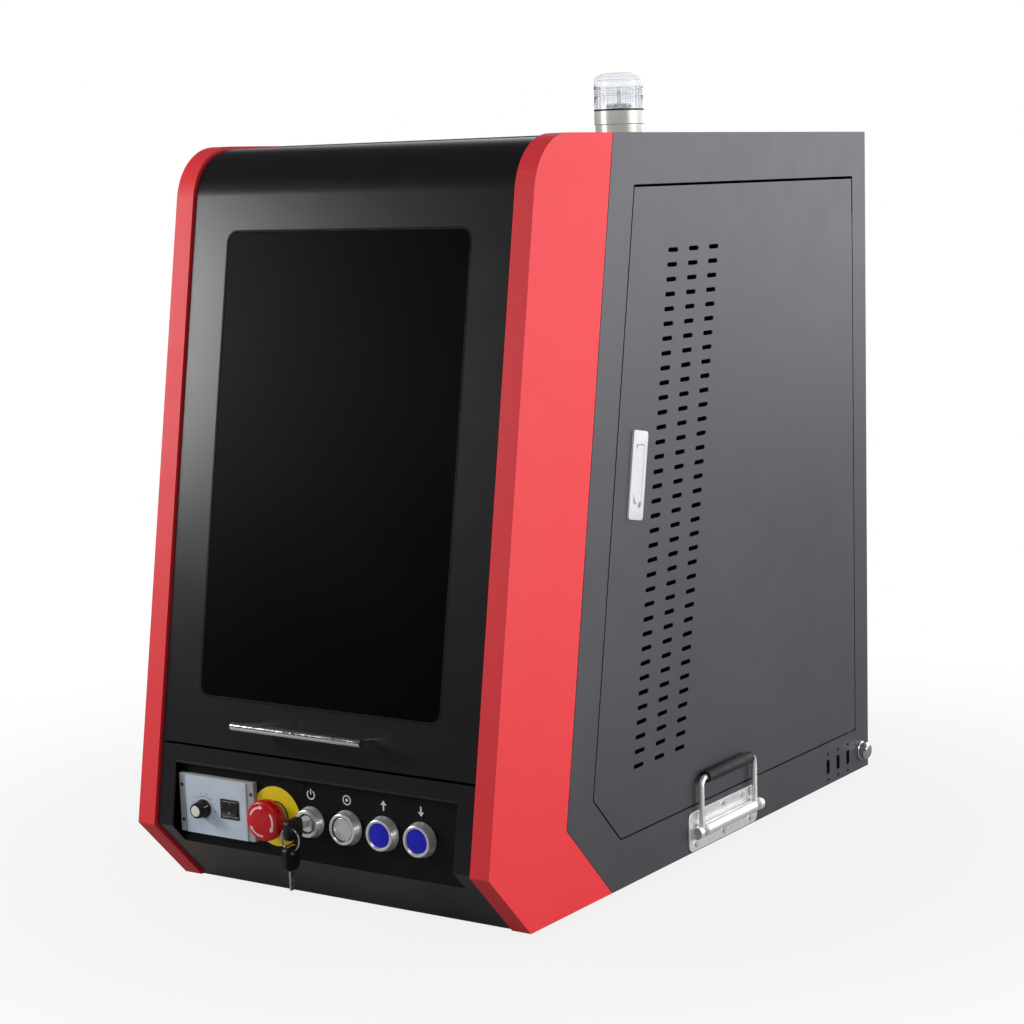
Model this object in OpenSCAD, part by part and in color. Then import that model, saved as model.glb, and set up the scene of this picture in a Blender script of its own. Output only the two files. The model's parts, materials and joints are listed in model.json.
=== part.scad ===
// Enclosed desktop laser marking machine: a lift-up front hood over a work chamber,
// an electronics bay behind it with a side door, and a control row below the hood.
// Millimetres. X is to the operator's right, Y runs from front to back, Z is up.
// The origin lies at the centre of the footprint, on the surface the feet stand on.

/* [Body] */
// Width across the two side panels
body_w = 431; // [400:1:480]
// Depth from the foremost edge of the cheeks to the back
body_d = 790; // [760:1:860]
// Height from the underside to the roof
body_h = 740; // [710:1:800]
// Height of the nose above the underside
chin_h = 69; // [62:1:76]
// How far the chin runs back underneath
chin_d = 66; // [58:1:74]
// Lean of the front from the vertical, in degrees
front_lean = 9.8; // [8:0.1:11]
// Radius where the front turns into the roof
crown_r = 60; // [45:1:70]
// Height of the rubber feet
foot_h = 12; // [8:1:20]
// Radius of a rubber foot
foot_r = 18; // [12:1:24]
// Thickness of the side, rear and roof sheets
sheet_t = 1.5; // [1:0.1:2]
// Thickness of the base tray
base_t = 3; // [2:0.1:4]

/* [Red cheeks] */
// Width of a cheek seen from the front
cheek_w = 21.6; // [18:0.1:26]
// Depth of a cheek seen from the side
cheek_band = 129; // [110:1:140]
// Distance from the front to the seam at the underside
seam_foot = 211; // [200:1:225]
// Thickness of the cheek sheet
cheek_t = 2; // [1.5:0.1:3]
// Depth of the return fold on the inner side of a cheek
cheek_return = 16; // [10:1:20]
// Open joint between cheek and side panel
seam_gap = 1; // [0.6:0.1:1.6]

/* [Front hood] */
// How far the black front lies below the edge of the cheeks
panel_set = 3; // [2:0.1:5]
// Open joint between hood and cheek
hood_gap = 2.5; // [1.5:0.1:3.5]
// Thickness of the hood sheet
hood_t = 2; // [1.5:0.1:2.5]
// Depth of the folds along the hood's sides
hood_fold = 18; // [12:1:20]
// Height of the joint below the hood
hood_foot_z = 151; // [148:1:156]
// Open joint below the hood
hood_foot_gap = 2.5; // [1.5:0.1:4]
// Distance of the hinge axis behind the front edge of the roof line
hinge_y = 246; // [240:1:256]
// Width of the viewing window
window_w = 297; // [250:1:310]
// Height of the viewing window, along the slope
window_h = 463; // [400:1:480]
// Height of the window's lower edge above the nose, along the slope
window_s = 134.5; // [128:0.5:140]
// Corner radius of the window
window_r = 12.5; // [8:0.5:20]
// Thickness of the window pane
pane_t = 3; // [2:0.5:4]
// Length of the hood's bar handle
bar_l = 158; // [120:1:200]
// Radius of the bar handle
bar_r = 4; // [3:0.5:5]
// Distance between the posts of the bar handle
bar_posts = 136; // [100:1:150]
// Height of the bar handle above the nose, along the slope
bar_s = 112.5; // [104:0.5:118]
// Distance of the bar's axis from the edge of the cheeks
bar_out = 25; // [20:1:32]

/* [Control row] */
// Half width of the pocket that shows the control plate
pocket_half = 173; // [170:1:178]
// Height of the pocket's upper edge
pocket_top = 133.4; // [128:0.1:136]
// Height of the pocket's lower edge, on the chin
pocket_foot = 50.5; // [48:0.1:53]
// Thickness of the control plate
plate_t = 2; // [1.5:0.1:3]
// Height of the row of controls
row_z = 91; // [88:1:94]
// Distance between neighbouring controls
row_pitch = 44; // [42:0.5:46]
// Place of the emergency stop, from the middle of the machine
row_x = -51; // [-54:1:-49]
// Radius of the flange of a push button
bezel_r = 17.2; // [15:0.1:19]
// How far a push button stands out of the plate
bezel_out = 10; // [8:0.5:12]
// Radius of a push button's cap
cap_r = 12.4; // [10:0.1:13]
// Travel of a push button
cap_travel = 3; // [1.5:0.5:4]
// Radius of the emergency stop's mushroom
stop_r = 20.3; // [18:0.1:21]
// Travel of the emergency stop
stop_travel = 6; // [3:0.5:6]
// Width of the speed controller
speed_w = 97; // [90:1:104]
// Height of the speed controller
speed_h = 60; // [54:1:64]
// Place of the speed controller's middle
speed_x = -123; // [-126:1:-122]

/* [Side door and vents] */
// Distance of the door's front edge from the sloped front
door_band = 174; // [168:1:182]
// Height of the door's lower edge
door_foot_z = 49.4; // [48:0.1:54]
// Distance of the door's upper edge below the roof
door_top_rim = 50; // [40:1:70]
// Distance of the door's rear edge from the back
door_back_rim = 33; // [25:1:50]
// Distance of the door's lower front corner from the front
door_foot_y = 228.8; // [222:0.1:236]
// Open joint around the door
door_gap = 1.8; // [1.4:0.1:2.4]
// Depth of the folds around the door
door_fold = 16; // [12:1:18]
// Columns of vent slots
vent_cols = 3; // [2:1:4]
// Distance of the uppermost vent row from the door's upper edge
vent_top = 60; // [55:1:200]
// Distance between vent columns
vent_pitch_y = 41; // [36:0.5:42]
// Distance between vent rows
vent_pitch_z = 14.5; // [12:0.1:14.5]
// Length of a vent slot
vent_l = 19.5; // [14:0.5:24]
// Height of a vent slot
vent_h = 4.6; // [3:0.1:6]
// Length of the door latch
latch_l = 88; // [80:1:94]
// Width of the door latch
latch_w = 27; // [25:1:29]

/* [Carrying handles] */
// Length of the handle plate
chest_l = 148; // [140:1:160]
// Height of the handle plate
chest_h = 42; // [40:1:46]
// Distance between the bail's arms
bail_w = 115; // [108:1:120]
// Height of the bail above its pivot
bail_h = 56; // [50:1:62]
// Radius of the bail's rod
rod_r = 3; // [2.5:0.1:3.5]
// Radius of the rubber grip
grip_r = 6.5; // [5.5:0.1:6.6]

/* [Beacon] */
// Radius of the beacon
beacon_r = 28; // [24:0.5:32]
// Height of the beacon's base
beacon_base_h = 31; // [24:1:36]
// Height of the beacon's clear lens
beacon_lens_h = 41; // [34:1:48]
// Distance of the beacon from the front
beacon_y = 609; // [580:1:640]

/* [Inside] */
// Distance of the bulkhead from the front
bulkhead_y = 330; // [326:1:340]
// Height of the worktable's top
table_z = 140; // [132:1:146]
// Width of the worktable
table_w = 320; // [300:1:330]
// Depth of the worktable
table_d = 180; // [160:1:184]
// Radius of the lead screw
screw_r = 5; // [4:0.5:6]
// Height of the middle of the carriage
carriage_z = 430; // [400:1:450]
// Radius of the marking lens
lens_r = 42; // [36:1:46]
// Distance of the laser source from the bulkhead
source_gap = 37; // [27:1:77]
// Width of the laser source
source_w = 260; // [220:1:270]
// Height of the laser source
source_h = 120; // [100:1:130]
// Side of the square fan
fan_w = 120; // [100:1:130]
// Thickness of the fan
fan_t = 38; // [25:1:38]

/* [Hidden] */
$fn = 48;

// Clearances, overruns and fits shared by all pieces
run_fit = 0.05;
seat_gap = 0.3;
over = 1;
// The crown circle is a hair larger, so that it crosses its straight edges instead of touching them
crown_ease = 0.002;

// Places that follow from the driving dimensions
half_w = body_w / 2;
inner_x = half_w - cheek_w;
hood_half = inner_x - hood_gap;
crown_y = (body_h - chin_h) * tan(front_lean);
front_a = 90 - front_lean;
chin_a = atan2(chin_h, -chin_d);
body_pts = [[chin_d, 0], [body_d, 0], [body_d, body_h], [crown_y, body_h], [0, chin_h]];

// Direction of an angle, crossing of two lines and an outline moved inwards by e
function dir(a) = [cos(a), sin(a)];
function meet(p, a, q, b) = p + dir(a) * cross(q - p, dir(b)) / cross(dir(a), dir(b));
function edge_a(pts, i) = let(d = pts[(i + 1) % len(pts)] - pts[i]) atan2(d.y, d.x);
function inset(pts, e) = [for (i = [0 : len(pts) - 1])
    let(j = (i + len(pts) - 1) % len(pts), a = edge_a(pts, j), b = edge_a(pts, i))
    meet(pts[j] + e * dir(a + 90), a, pts[i] + e * dir(b + 90), b)];

seam_top = [crown_y + cheek_band, body_h];
seam_kink = meet(seam_top, front_a, [seam_foot, 0], chin_a);
side_pts = [[seam_foot + seam_gap, 0], [body_d, 0], [body_d, body_h], seam_top + [seam_gap, 0],
    seam_kink + [seam_gap, 0]];
door_top_z = body_h - door_top_rim;
door_back = body_d - door_back_rim;
door_pts = [[door_foot_y, door_foot_z], [door_back, door_foot_z], [door_back, door_top_z],
    meet([door_band, chin_h], front_a, [0, door_top_z], 0),
    meet([door_band, chin_h], front_a, [door_foot_y, door_foot_z], chin_a)];
side_fold = 12;
chin_flange = 30;
inner_half = half_w - side_fold - 0.4 * sheet_t;

// Hood hinge
pin_r = 1.5;
knuckle_wall = 1.2;
knuckle_r = pin_r + knuckle_wall;
hinge_leaf_t = 1;
hinge_leaf_l = 14;
hinge_leaf_seat = 8;
hinge_room = 6;
hinge_drop = panel_set + hood_t + knuckle_r + seat_gap;
hinge_z = body_h - hinge_drop;
hood_back = hinge_y - 0.6 * hood_t;
roof_front = hinge_y + hinge_drop - panel_set + 0.5 * hood_t;
hinge_len = 60;
hinge_x = hood_half - 1.4 * hinge_len;
hinge_pitch = hinge_len / 5;

// Gas struts, from a pivot on the bulkhead to a pivot on the hood
strut_x = inner_x - cheek_return - over;
strut_foot_in = 40;
strut_foot_drop = 62;
strut_head_in = 37;
strut_head_drop = 132;
strut_head_z = body_h - strut_head_drop;
strut_foot = [bulkhead_y - strut_foot_in, body_h - strut_foot_drop];
strut_head = [front_y(strut_head_z) + strut_head_in, strut_head_z];
strut_r = 7;
strut_rod_r = 3;
strut_offset = 2 * strut_rod_r + 2 * over;
strut_neck = 10;
strut_eye_r = 6;
strut_eye_t = 6;
strut_bore_z = 18;
strut_rod_z = 26;
strut_rod_cut = 14;
strut_arm = 20;
strut_arm_l = 16;
strut_ring_t = 5;
strut_ring_gap = 0.5;
strut_shown = 82;
strut_lug_h = 10;
strut_lug_in = 8;
strut_len = norm(strut_head - strut_foot);
strut_a = atan2(strut_head.y - strut_foot.y, strut_head.x - strut_foot.x);
strut_tube = strut_len - strut_shown;

// Control row
plate_y = chin_y(pocket_foot, panel_set);
plate_half = hood_half - hood_t - seat_gap;
plate_lip = 9;
plate_notch = hood_t / sin(180 - chin_a) * chin_h / chin_d + seat_gap;
plate_top = pocket_top + plate_lip;
bezel_body_r = 11;
bezel_slope = 2.2;
bezel_rim_r = bezel_r - bezel_slope;
bezel_flange_t = 1.6;
bezel_edge = 0.6;
key_bezel_in = 1.6;
nut_h = 4;
nut_wall = 4;
block_w = 24;
block_l = 47;
block_neck = 25;
block_proud = 0.5;
block_bore = 22;
cap_stem_l = 8;
stem_r = 5;
key_x = row_x + row_pitch;
lock_r = 9.8;
barrel_r = 8.5;
barrel_deep = 12;
barrel_sink = 0.6;
slot_deep = 8;
key_t = 5;
key_bow_h = 21;
key_bow_l = 24;
key_bow_r = 6;
key_neck = 8;
key_blade = [2, 6.6];
key_hole_r = 3;
key_hole_in = 4;
key_blade_deep = 6;
spare_blade = [1.8, 6];
spare_blade_l = 20;
ring_r = 11;
ring_wire = 0.9;
key_face = bezel_out - over;
key_tip = key_face + key_neck + key_bow_l;
ring_out = key_tip - key_hole_r - key_hole_in;
ring_y = key_hole_r - ring_wire - seat_gap - ring_r;
spare_y = ring_y - ring_r + ring_wire - key_hole_r;
stop_plate_r = 30;
stop_plate_t = 1.2;
stop_collar_r = 14.5;
stop_collar_h = 8.5;
stop_skirt_gap = 1.5;
stop_skirt = stop_collar_h + stop_skirt_gap;
stop_out = 25.5;
stop_roof = 4;
stop_collar_gap = 1;
stop_stem_r = 6;
stop_stem_back = 14;
// Outline of the head: how far in from its edge and how far up from its skirt, as shares
stop_head_shares = [[0.06, 0], [0, 0.1], [0, 0.45], [0.1, 0.68], [0.3, 0.88], [0.6, 0.97], [1, 1]];
speed_out = 6;
speed_label_t = 1.2;
speed_end = 9;
speed_deep = 40;
speed_rise = 1.5;
speed_z = row_z + speed_rise;
knob_x = -16;
knob_z = -3;
knob_r = 9.5;
knob_l = 13;
knob_foot_h = 2.5;
knob_taper = 1;
knob_flute_r = 1.2;
knob_flute_z = 3;
knob_shaft_r = 3;
knob_shaft_l = 10;
rocker_x = 18;
rocker_w = 20.5;
rocker_h = 16.5;
rocker_tilt = 9;
rocker_deep = 12;
rocker_sink = 3;
rocker_half = 7;
rocker_edge = 5;
rocker_dip = 3.4;
rocker_side = 2;
rocker_foot = 3;

// Side door, its hinge and its latch
door_axis_in = 4.5;
door_axis_back = 7.8;
door_axis = [half_w - door_axis_in, door_back - door_gap - door_axis_back];
door_boss_h = 8;
door_boss_wall = 1.4;
ledge_gap = 3.5;
ledge_in = door_fold + ledge_gap;
ledge_w = 14;
latch_in = 42;
latch_rise = 359.4;
latch_z = door_foot_z + latch_rise;
latch_yz = [door_band + latch_in + front_y(latch_z), latch_z];
latch_t = 2.5;
latch_deep = 10;
latch_r = 3;
latch_lip = [3, 4];
latch_fit = 0.2;
latch_floor = 1.5;
lever_w = 14;
lever_l = 58;
lever_top = 26;
lever_pin_in = 3;
lever_eye_r = 3.4;
lever_room = 7;
vent_rise = 68.2;
vent_in = 84;
vent_z = door_foot_z + vent_rise;
vent_yz = [door_band + vent_in + front_y(vent_z), vent_z];
vent_rows = 1 + floor((door_top_z - vent_top - vent_z) / vent_pitch_z);

// Sockets on the right side, below the door
socket_back = 54;
socket_pitch = 25.5;
socket_y = [for (i = [2 : -1 : 0]) body_d - socket_back - i * socket_pitch];
socket_z = 21.3;
socket_w = 8;
socket_h = 17;
socket_screw = 15.3;
socket_block = [18, 35, 22];
socket_lip = 1;
socket_deep = 14;
socket_tongue = 2;
rotary_back = 19;
rotary_z = 22;
rotary_yz = [body_d - rotary_back, rotary_z];
rotary_r = 9.8;
rotary_deep = 18;
rotary_rim = 1;
rotary_flange_t = 2;
rotary_side = 8;
rotary_bevel = 2.5;
rotary_dome = 0.5;

// Carrying handles
chest_back = 354;
chest_z = 22.5;
chest_yz = [body_d - chest_back, chest_z];
chest_t = 1.5;
chest_r = 8;
pivot_rise = 6;
pivot_out = chest_t + pivot_rise;
barrel_out = 6.6;
bail_bend = 8;
bail_end_in = 6;
arm_gap = 1.2;
chest_ear_in = 8;
chest_ear_l = 7;
// Distances of the handle plate's lower and upper end screws from its edges
chest_low = [15, 7];
chest_high = [32, 5.5];
chest_screws = concat(
    [for (s = [-1 : 1]) [s * (chest_l / 2 - chest_low.x), chest_low.y - chest_h / 2]],
    [for (s = [-1 : 1]) [s * (chest_l / 2 - chest_high.x), chest_h / 2 - chest_high.y]]);
screw_head_r = 3.4;
screw_head_t = 1.4;
plate_screw_out = 8;
plate_screw_drop = 7.4;
plate_screw_rise = 8;
mid_screw = [34, 6.9];
plate_screws = concat([[row_x + mid_screw.x, pocket_top - mid_screw.y]],
    [for (s = [-1, 1], z = [pocket_top - plate_screw_drop, pocket_foot + plate_screw_rise])
        [s * (pocket_half + plate_screw_out), z]]);

// Inside
rail_w = 10;
rail_d = 8;
rail_x = 40;
column_half = 60;
column_d = 25;
column_foot = 60;
column_drop = 92;
column_z = [table_z, body_h - column_drop];
bearing_t = 15;
bearing_out = 12;
screw_out = 11;
screw_end = 12;
screw_y = bulkhead_y - column_d - screw_out;
carriage_h = 90;
carriage_d = 19;
carriage_gap = 2;
carriage_arm_in = 8;
carriage_y = bulkhead_y - column_d - carriage_d - carriage_gap;
motor_w = 57;
motor_h = 66;
motor_corner = 5;
motor_bore = 14;
motor_lip = 3;
column_plate_t = 8;
head_w = 110;
head_d = 112;
head_h = 100;
head_gap = 22;
head_y = carriage_y - head_gap - head_d;
fibre_r = 17;
fibre_h = 62;
fibre_end_r = 6;
fibre_end_h = 14;
lens_h = 36;
lens_seat = 6;
lens_wall = 6;
glass_z = 8;
glass_t = 6;
table_t = 15;
table_gap = 30;
table_slot = 6;
table_under = [11, 5];
table_under_z = 8;
table_leg = 20;
table_leg_in = 8;
jig_x = 250;
jig_y = 100;
jig_r = 2.5;
slot_pitch = 30;
slot_cable = [40, 25];
slot_cable_in = 20;
slot_cable_drop = 70;
ear_t = 3;
ear_in = 6;
ear_h = 16;
source_back = 40;
source_y = bulkhead_y + 2 * sheet_t + source_gap;
source_l = body_d - source_back - source_y;
source_port_r = 9;
source_port_l = 24;
fin_in = 12;
fin_w = 8;
fin_deep = 14;
tray_vent_in = 21;
board = [220, 2, 120];
board_drop = 180;
board_z = body_h - board_drop;
board_post = 8;
board_post_in = 8;
board_post_r = 3;
relay = [26, 9, 30];
relay_at = [16, 20];
relay_pitch = 40;
chip = [46, 5, 46];
chip_at = [70, 62];
plug = [60, 16, 20];
plug_at = [140, 66];
supply = [115, 50, 215];
supply_drop = 45;
supply_left = 35;
supply_right = 20;
supply_wall = 6;
supply_step = 8;
supply_step_h = 18;
fan_drop = 180;
fan_xz = [0, body_h - fan_drop];
fan_rim = 2;
fan_bore = fan_w / 2 - fan_rim;
fan_corner = 6;
fan_hub_t = 5;
fan_shaft_r = 3;
fan_rib = [6, 4];
fan_back = 4;
blade_t = 2;
blade_w = 26;
blade_gap = 1.5;
blade_lean = 40;
grille_step = 9;
grille_rib = 6;
rear_vent_x = 95;
rear_vent_drop = 360;
inlet_in = 120;
inlet_z = 50;
inlet_xz = [-inlet_in, inlet_z];
inlet_out = 3;
inlet_flange = [50, 32];
inlet_flange_r = 4;
inlet_body = [43, 25, 28];
inlet_hole = [24, 17, 16];
inlet_pin = [2, 4, 14];
inlet_pin_step = 7;
inlet_pin_y = 5.4;
feet_front = 60;
feet_back = 70;
feet_in = 44;
feet_taper = 3;

// Beacon and window
beacon_groove = [0.7, 0.8];
beacon_stud = 12;
beacon_rim = 0.3;
beacon_ring_t = 1.6;
beacon_dome = 11;
beacon_wall = 2;
led_foot = 5;
led_h = 20;
seal_t = 3.4;
seal_lip = 5;
seal_lap = 7;
pane_ledge = 2.5;

// Overall reach along Y, and the foremost edge of the body in the part's own frame
key_reach = plate_y - ring_out - key_bow_h / 2;
front_reach = min(key_reach, bar_s * sin(front_lean) - bar_out * cos(front_lean) - bar_r);
y0 = -(front_reach + body_d + inlet_out) / 2;

// Distance from the front to the sloped front and to the chin, at a height z
function front_y(z) = (z - chin_h) * tan(front_lean);
function chin_y(z, e) = (chin_h - z) * chin_d / chin_h + e / sin(180 - chin_a);

module in_body() translate([0, y0, foot_h]) children();

// A side view in Y and Z, drawn from x0 to x1
module along_x(x0, x1) translate([x0, 0, 0]) rotate([90, 0, 90]) linear_extrude(x1 - x0) children();

// A front view in X and Z, drawn from y0 to y1
module along_y(ya, yb) translate([0, yb, 0]) rotate([90, 0, 0]) linear_extrude(yb - ya) children();

// The sloped front: X is across, Y is up the slope from the nose, Z is outwards
module on_front(s, out) translate([0, 0, chin_h]) rotate([90 - front_lean, 0, 0])
    translate([0, s, out]) children();

// The control plate: X is across, Y is up, Z is outwards
module on_plate(x, z) translate([x, plate_y, z]) rotate([90, 0, 0]) children();

// The right side: X is towards the back, Y is up, Z is outwards
module on_side(y, z, out = 0) translate([half_w + out, y, z]) rotate([90, 0, 90]) children();

module round_rect(w, h, r) difference() {
    square([w, h], center = true);
    for (sx = [-1, 1], sy = [-1, 1]) translate([sx * (w / 2 - r), sy * (h / 2 - r)]) difference() {
        translate([sx > 0 ? 0 : -r - over, sy > 0 ? 0 : -r - over]) square(r + over);
        circle(r);
    }
}

module tube(r, bore, h) difference() {
    cylinder(r = r, h = h);
    translate([0, 0, -over]) cylinder(r = bore, h = h + 2 * over);
}

module ring(pts, t) difference() {
    polygon(pts);
    polygon(inset(pts, t));
}

// The side outline of the body moved inwards by e, with its rounded crown
module outline(e) {
    mid = inset(body_pts, crown_r)[3];
    tip = inset(body_pts, e)[3];
    r = crown_r - e;
    difference() {
        polygon(inset(body_pts, e));
        if (r > 0) difference() {
            polygon([mid, mid + r * dir(180 - front_lean), tip, mid + r * dir(90)]);
            translate(mid) circle(r = r + crown_ease, $fn = 96);
        }
    }
}

module front_strip(t) difference() {
    outline(panel_set);
    outline(panel_set + t);
}

module cheek_zone() polygon([[-over, -over], meet(seam_kink, chin_a, [0, -over], 0), seam_kink,
    meet(seam_kink, front_a, [0, body_h + over], 0), [-over, body_h + over]]);

module cheek() difference() {
    along_x(inner_x, half_w) intersection() {
        outline(0);
        cheek_zone();
    }
    along_x(inner_x + cheek_t, half_w - cheek_t) outline(cheek_t);
    along_x(inner_x - over, inner_x + 2 * cheek_t) outline(cheek_return);
}

module slots() for (row = [0 : vent_rows - 1], col = [0 : vent_cols - 1])
    translate([vent_yz.x + col * vent_pitch_y + row * vent_pitch_z * tan(front_lean),
        vent_yz.y + row * vent_pitch_z]) {
        square([vent_l - vent_h, vent_h], center = true);
        for (s = [-1, 1]) translate([s * (vent_l - vent_h) / 2, 0]) circle(d = vent_h, $fn = 12);
    }

// Sheet with its edges folded inwards, open on its inner side
module pan(pts, fold) {
    along_x(half_w - sheet_t, half_w) difference() {
        polygon(pts);
        children();
    }
    along_x(half_w - fold, half_w) ring(pts, sheet_t);
}

module base_tray() color([0.30, 0.30, 0.31]) in_body() difference() {
    union() {
        translate([-inner_x + seat_gap, chin_d + panel_set, 0])
            cube([2 * (inner_x - seat_gap), seam_foot - chin_d - panel_set, base_t]);
        translate([-inner_half, seam_foot, 0])
            cube([2 * inner_half, body_d - seam_foot - sheet_t - seat_gap, base_t]);
    }
    for (i = [0 : 7]) translate([-source_w / 2, source_y + tray_vent_in + i * source_l / 10, -over])
        cube([source_w / 3, source_l / 25, base_t + 2 * over]);
}

module feet() color([0.06, 0.06, 0.06]) for (sx = [-1, 1], y = [seam_foot - feet_front, body_d - feet_back])
    translate([sx * (inner_x - feet_in), y0 + y, 0]) {
        cylinder(r1 = foot_r - feet_taper, r2 = foot_r, h = foot_h);
    }

module right_cheek() color([0.80, 0.10, 0.13]) in_body() cheek();

module left_cheek() color([0.80, 0.10, 0.13]) in_body() mirror([1, 0, 0]) cheek();

module left_side_panel() color([0.36, 0.36, 0.38]) in_body() mirror([1, 0, 0])
    pan(side_pts, side_fold) slots();

module right_side_panel() color([0.36, 0.36, 0.38]) in_body() difference() {
    union() {
        pan(side_pts, side_fold) polygon(door_pts);
        along_x(half_w - ledge_in - sheet_t, half_w) ring(inset(door_pts, -sheet_t), sheet_t);
        along_x(half_w - ledge_in - sheet_t, half_w - ledge_in) ring(inset(door_pts, -sheet_t), ledge_w);
    }
    for (y = socket_y) on_side(y, socket_z) {
        translate([0, 0, -2 * sheet_t]) linear_extrude(3 * sheet_t) square([socket_w, socket_h], center = true);
    }
    on_side(rotary_yz.x, rotary_yz.y) translate([0, 0, -2 * sheet_t])
        cylinder(r = rotary_r - over, h = 3 * sheet_t);
    for (z = [door_foot_z - 2 * sheet_t, door_top_z - sheet_t / 2]) translate([door_axis.x, door_axis.y, z])
        cylinder(r = pin_r + run_fit, h = 3 * sheet_t);
}

module roof_panel() color([0.36, 0.36, 0.38]) in_body() {
    difference() {
        translate([-inner_half, roof_front, body_h - sheet_t])
            cube([2 * inner_half, body_d - roof_front - sheet_t - seat_gap, sheet_t]);
        translate([0, beacon_y, body_h - 2 * sheet_t]) cylinder(r = beacon_r / 3, h = 3 * sheet_t);
    }
    translate([-inner_half, roof_front, hinge_z - knuckle_r])
        cube([2 * inner_half, sheet_t, hinge_drop + knuckle_r]);
    for (s = [-1, 1]) difference() {
        union() for (i = [0, 2, 4]) translate([s * hinge_x - hinge_len / 2 + i * hinge_pitch, hinge_y, hinge_z]) {
            rotate([0, 90, 0]) cylinder(r = knuckle_r, h = hinge_pitch - seat_gap);
            translate([0, 0, -knuckle_r]) cube([hinge_pitch - seat_gap, roof_front - hinge_y + sheet_t / 2, hinge_leaf_t]);
        }
        translate([s * hinge_x - hinge_len, hinge_y, hinge_z]) rotate([0, 90, 0])
            cylinder(r = pin_r + run_fit, h = 2 * hinge_len);
    }
}

module grille() for (i = [0 : 5]) difference() {
    circle(r = fan_bore - i * grille_step);
    circle(r = fan_bore - i * grille_step - grille_step * 0.62);
    for (a = [45, 135]) rotate(a) square([2 * fan_w, grille_rib], center = true);
}

module rear_panel() color([0.36, 0.36, 0.38]) in_body() along_y(body_d - sheet_t, body_d) difference() {
    translate([-inner_half, 0]) square([2 * inner_half, body_h]);
    translate(fan_xz) grille();
    translate(inlet_xz) square([inlet_body.x + over, inlet_body.y + over], center = true);
    for (i = [0 : 9], s = [-1, 1]) translate([s * rear_vent_x, fan_xz.y - rear_vent_drop + i * 2 * vent_pitch_z]) {
        square([4 * vent_l - vent_h, vent_h], center = true);
        for (e = [-1, 1]) translate([e * (4 * vent_l - vent_h) / 2, 0]) circle(d = vent_h, $fn = 12);
    }
}

module lower_front_panel() color([0.09, 0.09, 0.10]) in_body() difference() {
    union() {
        along_x(-hood_half, hood_half) intersection() {
            front_strip(hood_t);
            square([chin_d + chin_flange, hood_foot_z]);
        }
        for (s = [-1, 1]) translate([s * (hood_half - hood_t / 2), 0, 0])
            along_x(-hood_t / 2, hood_t / 2) intersection() {
                front_strip(hood_fold);
                square([chin_d + chin_flange, hood_foot_z]);
            }
        along_x(-pocket_half, pocket_half) translate([front_y(pocket_top) + panel_set, pocket_top])
            square([plate_y - front_y(pocket_top) - panel_set, hood_t]);
    }
    translate([-pocket_half, -over, pocket_foot])
        cube([2 * pocket_half, plate_y + over + panel_set, pocket_top - pocket_foot]);
}

module control_plate() color([0.06, 0.06, 0.07]) in_body() along_y(plate_y, plate_y + plate_t) difference() {
    translate([-plate_half, pocket_foot + seat_gap]) square([2 * plate_half, plate_top - pocket_foot - seat_gap]);
    for (s = [-1, 1]) translate([s * (pocket_half + plate_half) / 2, pocket_foot])
        square([plate_half - pocket_half + 2 * seat_gap, 2 * plate_notch], center = true);
    translate([speed_x, speed_z]) square([speed_w - 2 * speed_end, speed_h - speed_end], center = true);
    for (i = [0 : 4]) translate([row_x + i * row_pitch, row_z]) circle(r = bezel_body_r + run_fit);
}

module screws() color([0.70, 0.70, 0.70]) in_body() {
    for (p = plate_screws) on_plate(p.x, p.y) cylinder(r = 0.8 * screw_head_r, h = screw_head_t);
    for (y = socket_y, s = [-1, 1]) on_side(y, socket_z + s * socket_screw)
        cylinder(r = screw_head_r / 2, h = screw_head_t / 2);
    for (m = [0, 1], p = chest_screws) mirror([m, 0, 0])
        on_side(chest_yz.x + p.x, chest_yz.y + p.y, chest_t) cylinder(r = screw_head_r, h = screw_head_t);
}

module hinge_pins() color([0.70, 0.70, 0.72]) in_body() {
    for (s = [-1, 1]) translate([s * hinge_x - hinge_len / 2 - over, hinge_y, hinge_z]) rotate([0, 90, 0])
        cylinder(r = pin_r, h = hinge_len + over);
    translate([door_axis.x, door_axis.y, door_foot_z - 2 * sheet_t])
        cylinder(r = pin_r, h = 2 * sheet_t + door_gap + door_boss_h);
    translate([door_axis.x, door_axis.y, door_top_z - door_gap - door_boss_h])
        cylinder(r = pin_r, h = 2 * sheet_t + door_gap + door_boss_h);
}

module bulkhead() color([0.62, 0.63, 0.64]) in_body() {
    half = half_w - ledge_in - 3 * sheet_t;
    difference() {
        translate([-half, bulkhead_y, base_t]) cube([2 * half, 2 * sheet_t, body_h - base_t - sheet_t]);
        translate([-half + slot_cable_in, bulkhead_y - over, body_h - slot_cable_drop])
            cube([slot_cable.x, 2 * sheet_t + 2 * over, slot_cable.y]);
    }
    for (s = [-1, 1]) translate([s * strut_x, 0, 0]) difference() {
        union() {
            translate([-ear_t / 2 - s * strut_r, strut_foot.x - ear_in, strut_foot.y - ear_h / 2])
                cube([ear_t, bulkhead_y - strut_foot.x + ear_in + sheet_t, ear_h]);
            translate([-strut_r - strut_rod_r, strut_foot.x, strut_foot.y]) rotate([0, 90, 0])
                cylinder(r = strut_rod_r, h = 2 * (strut_r + strut_rod_r));
        }
    }
}

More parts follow.
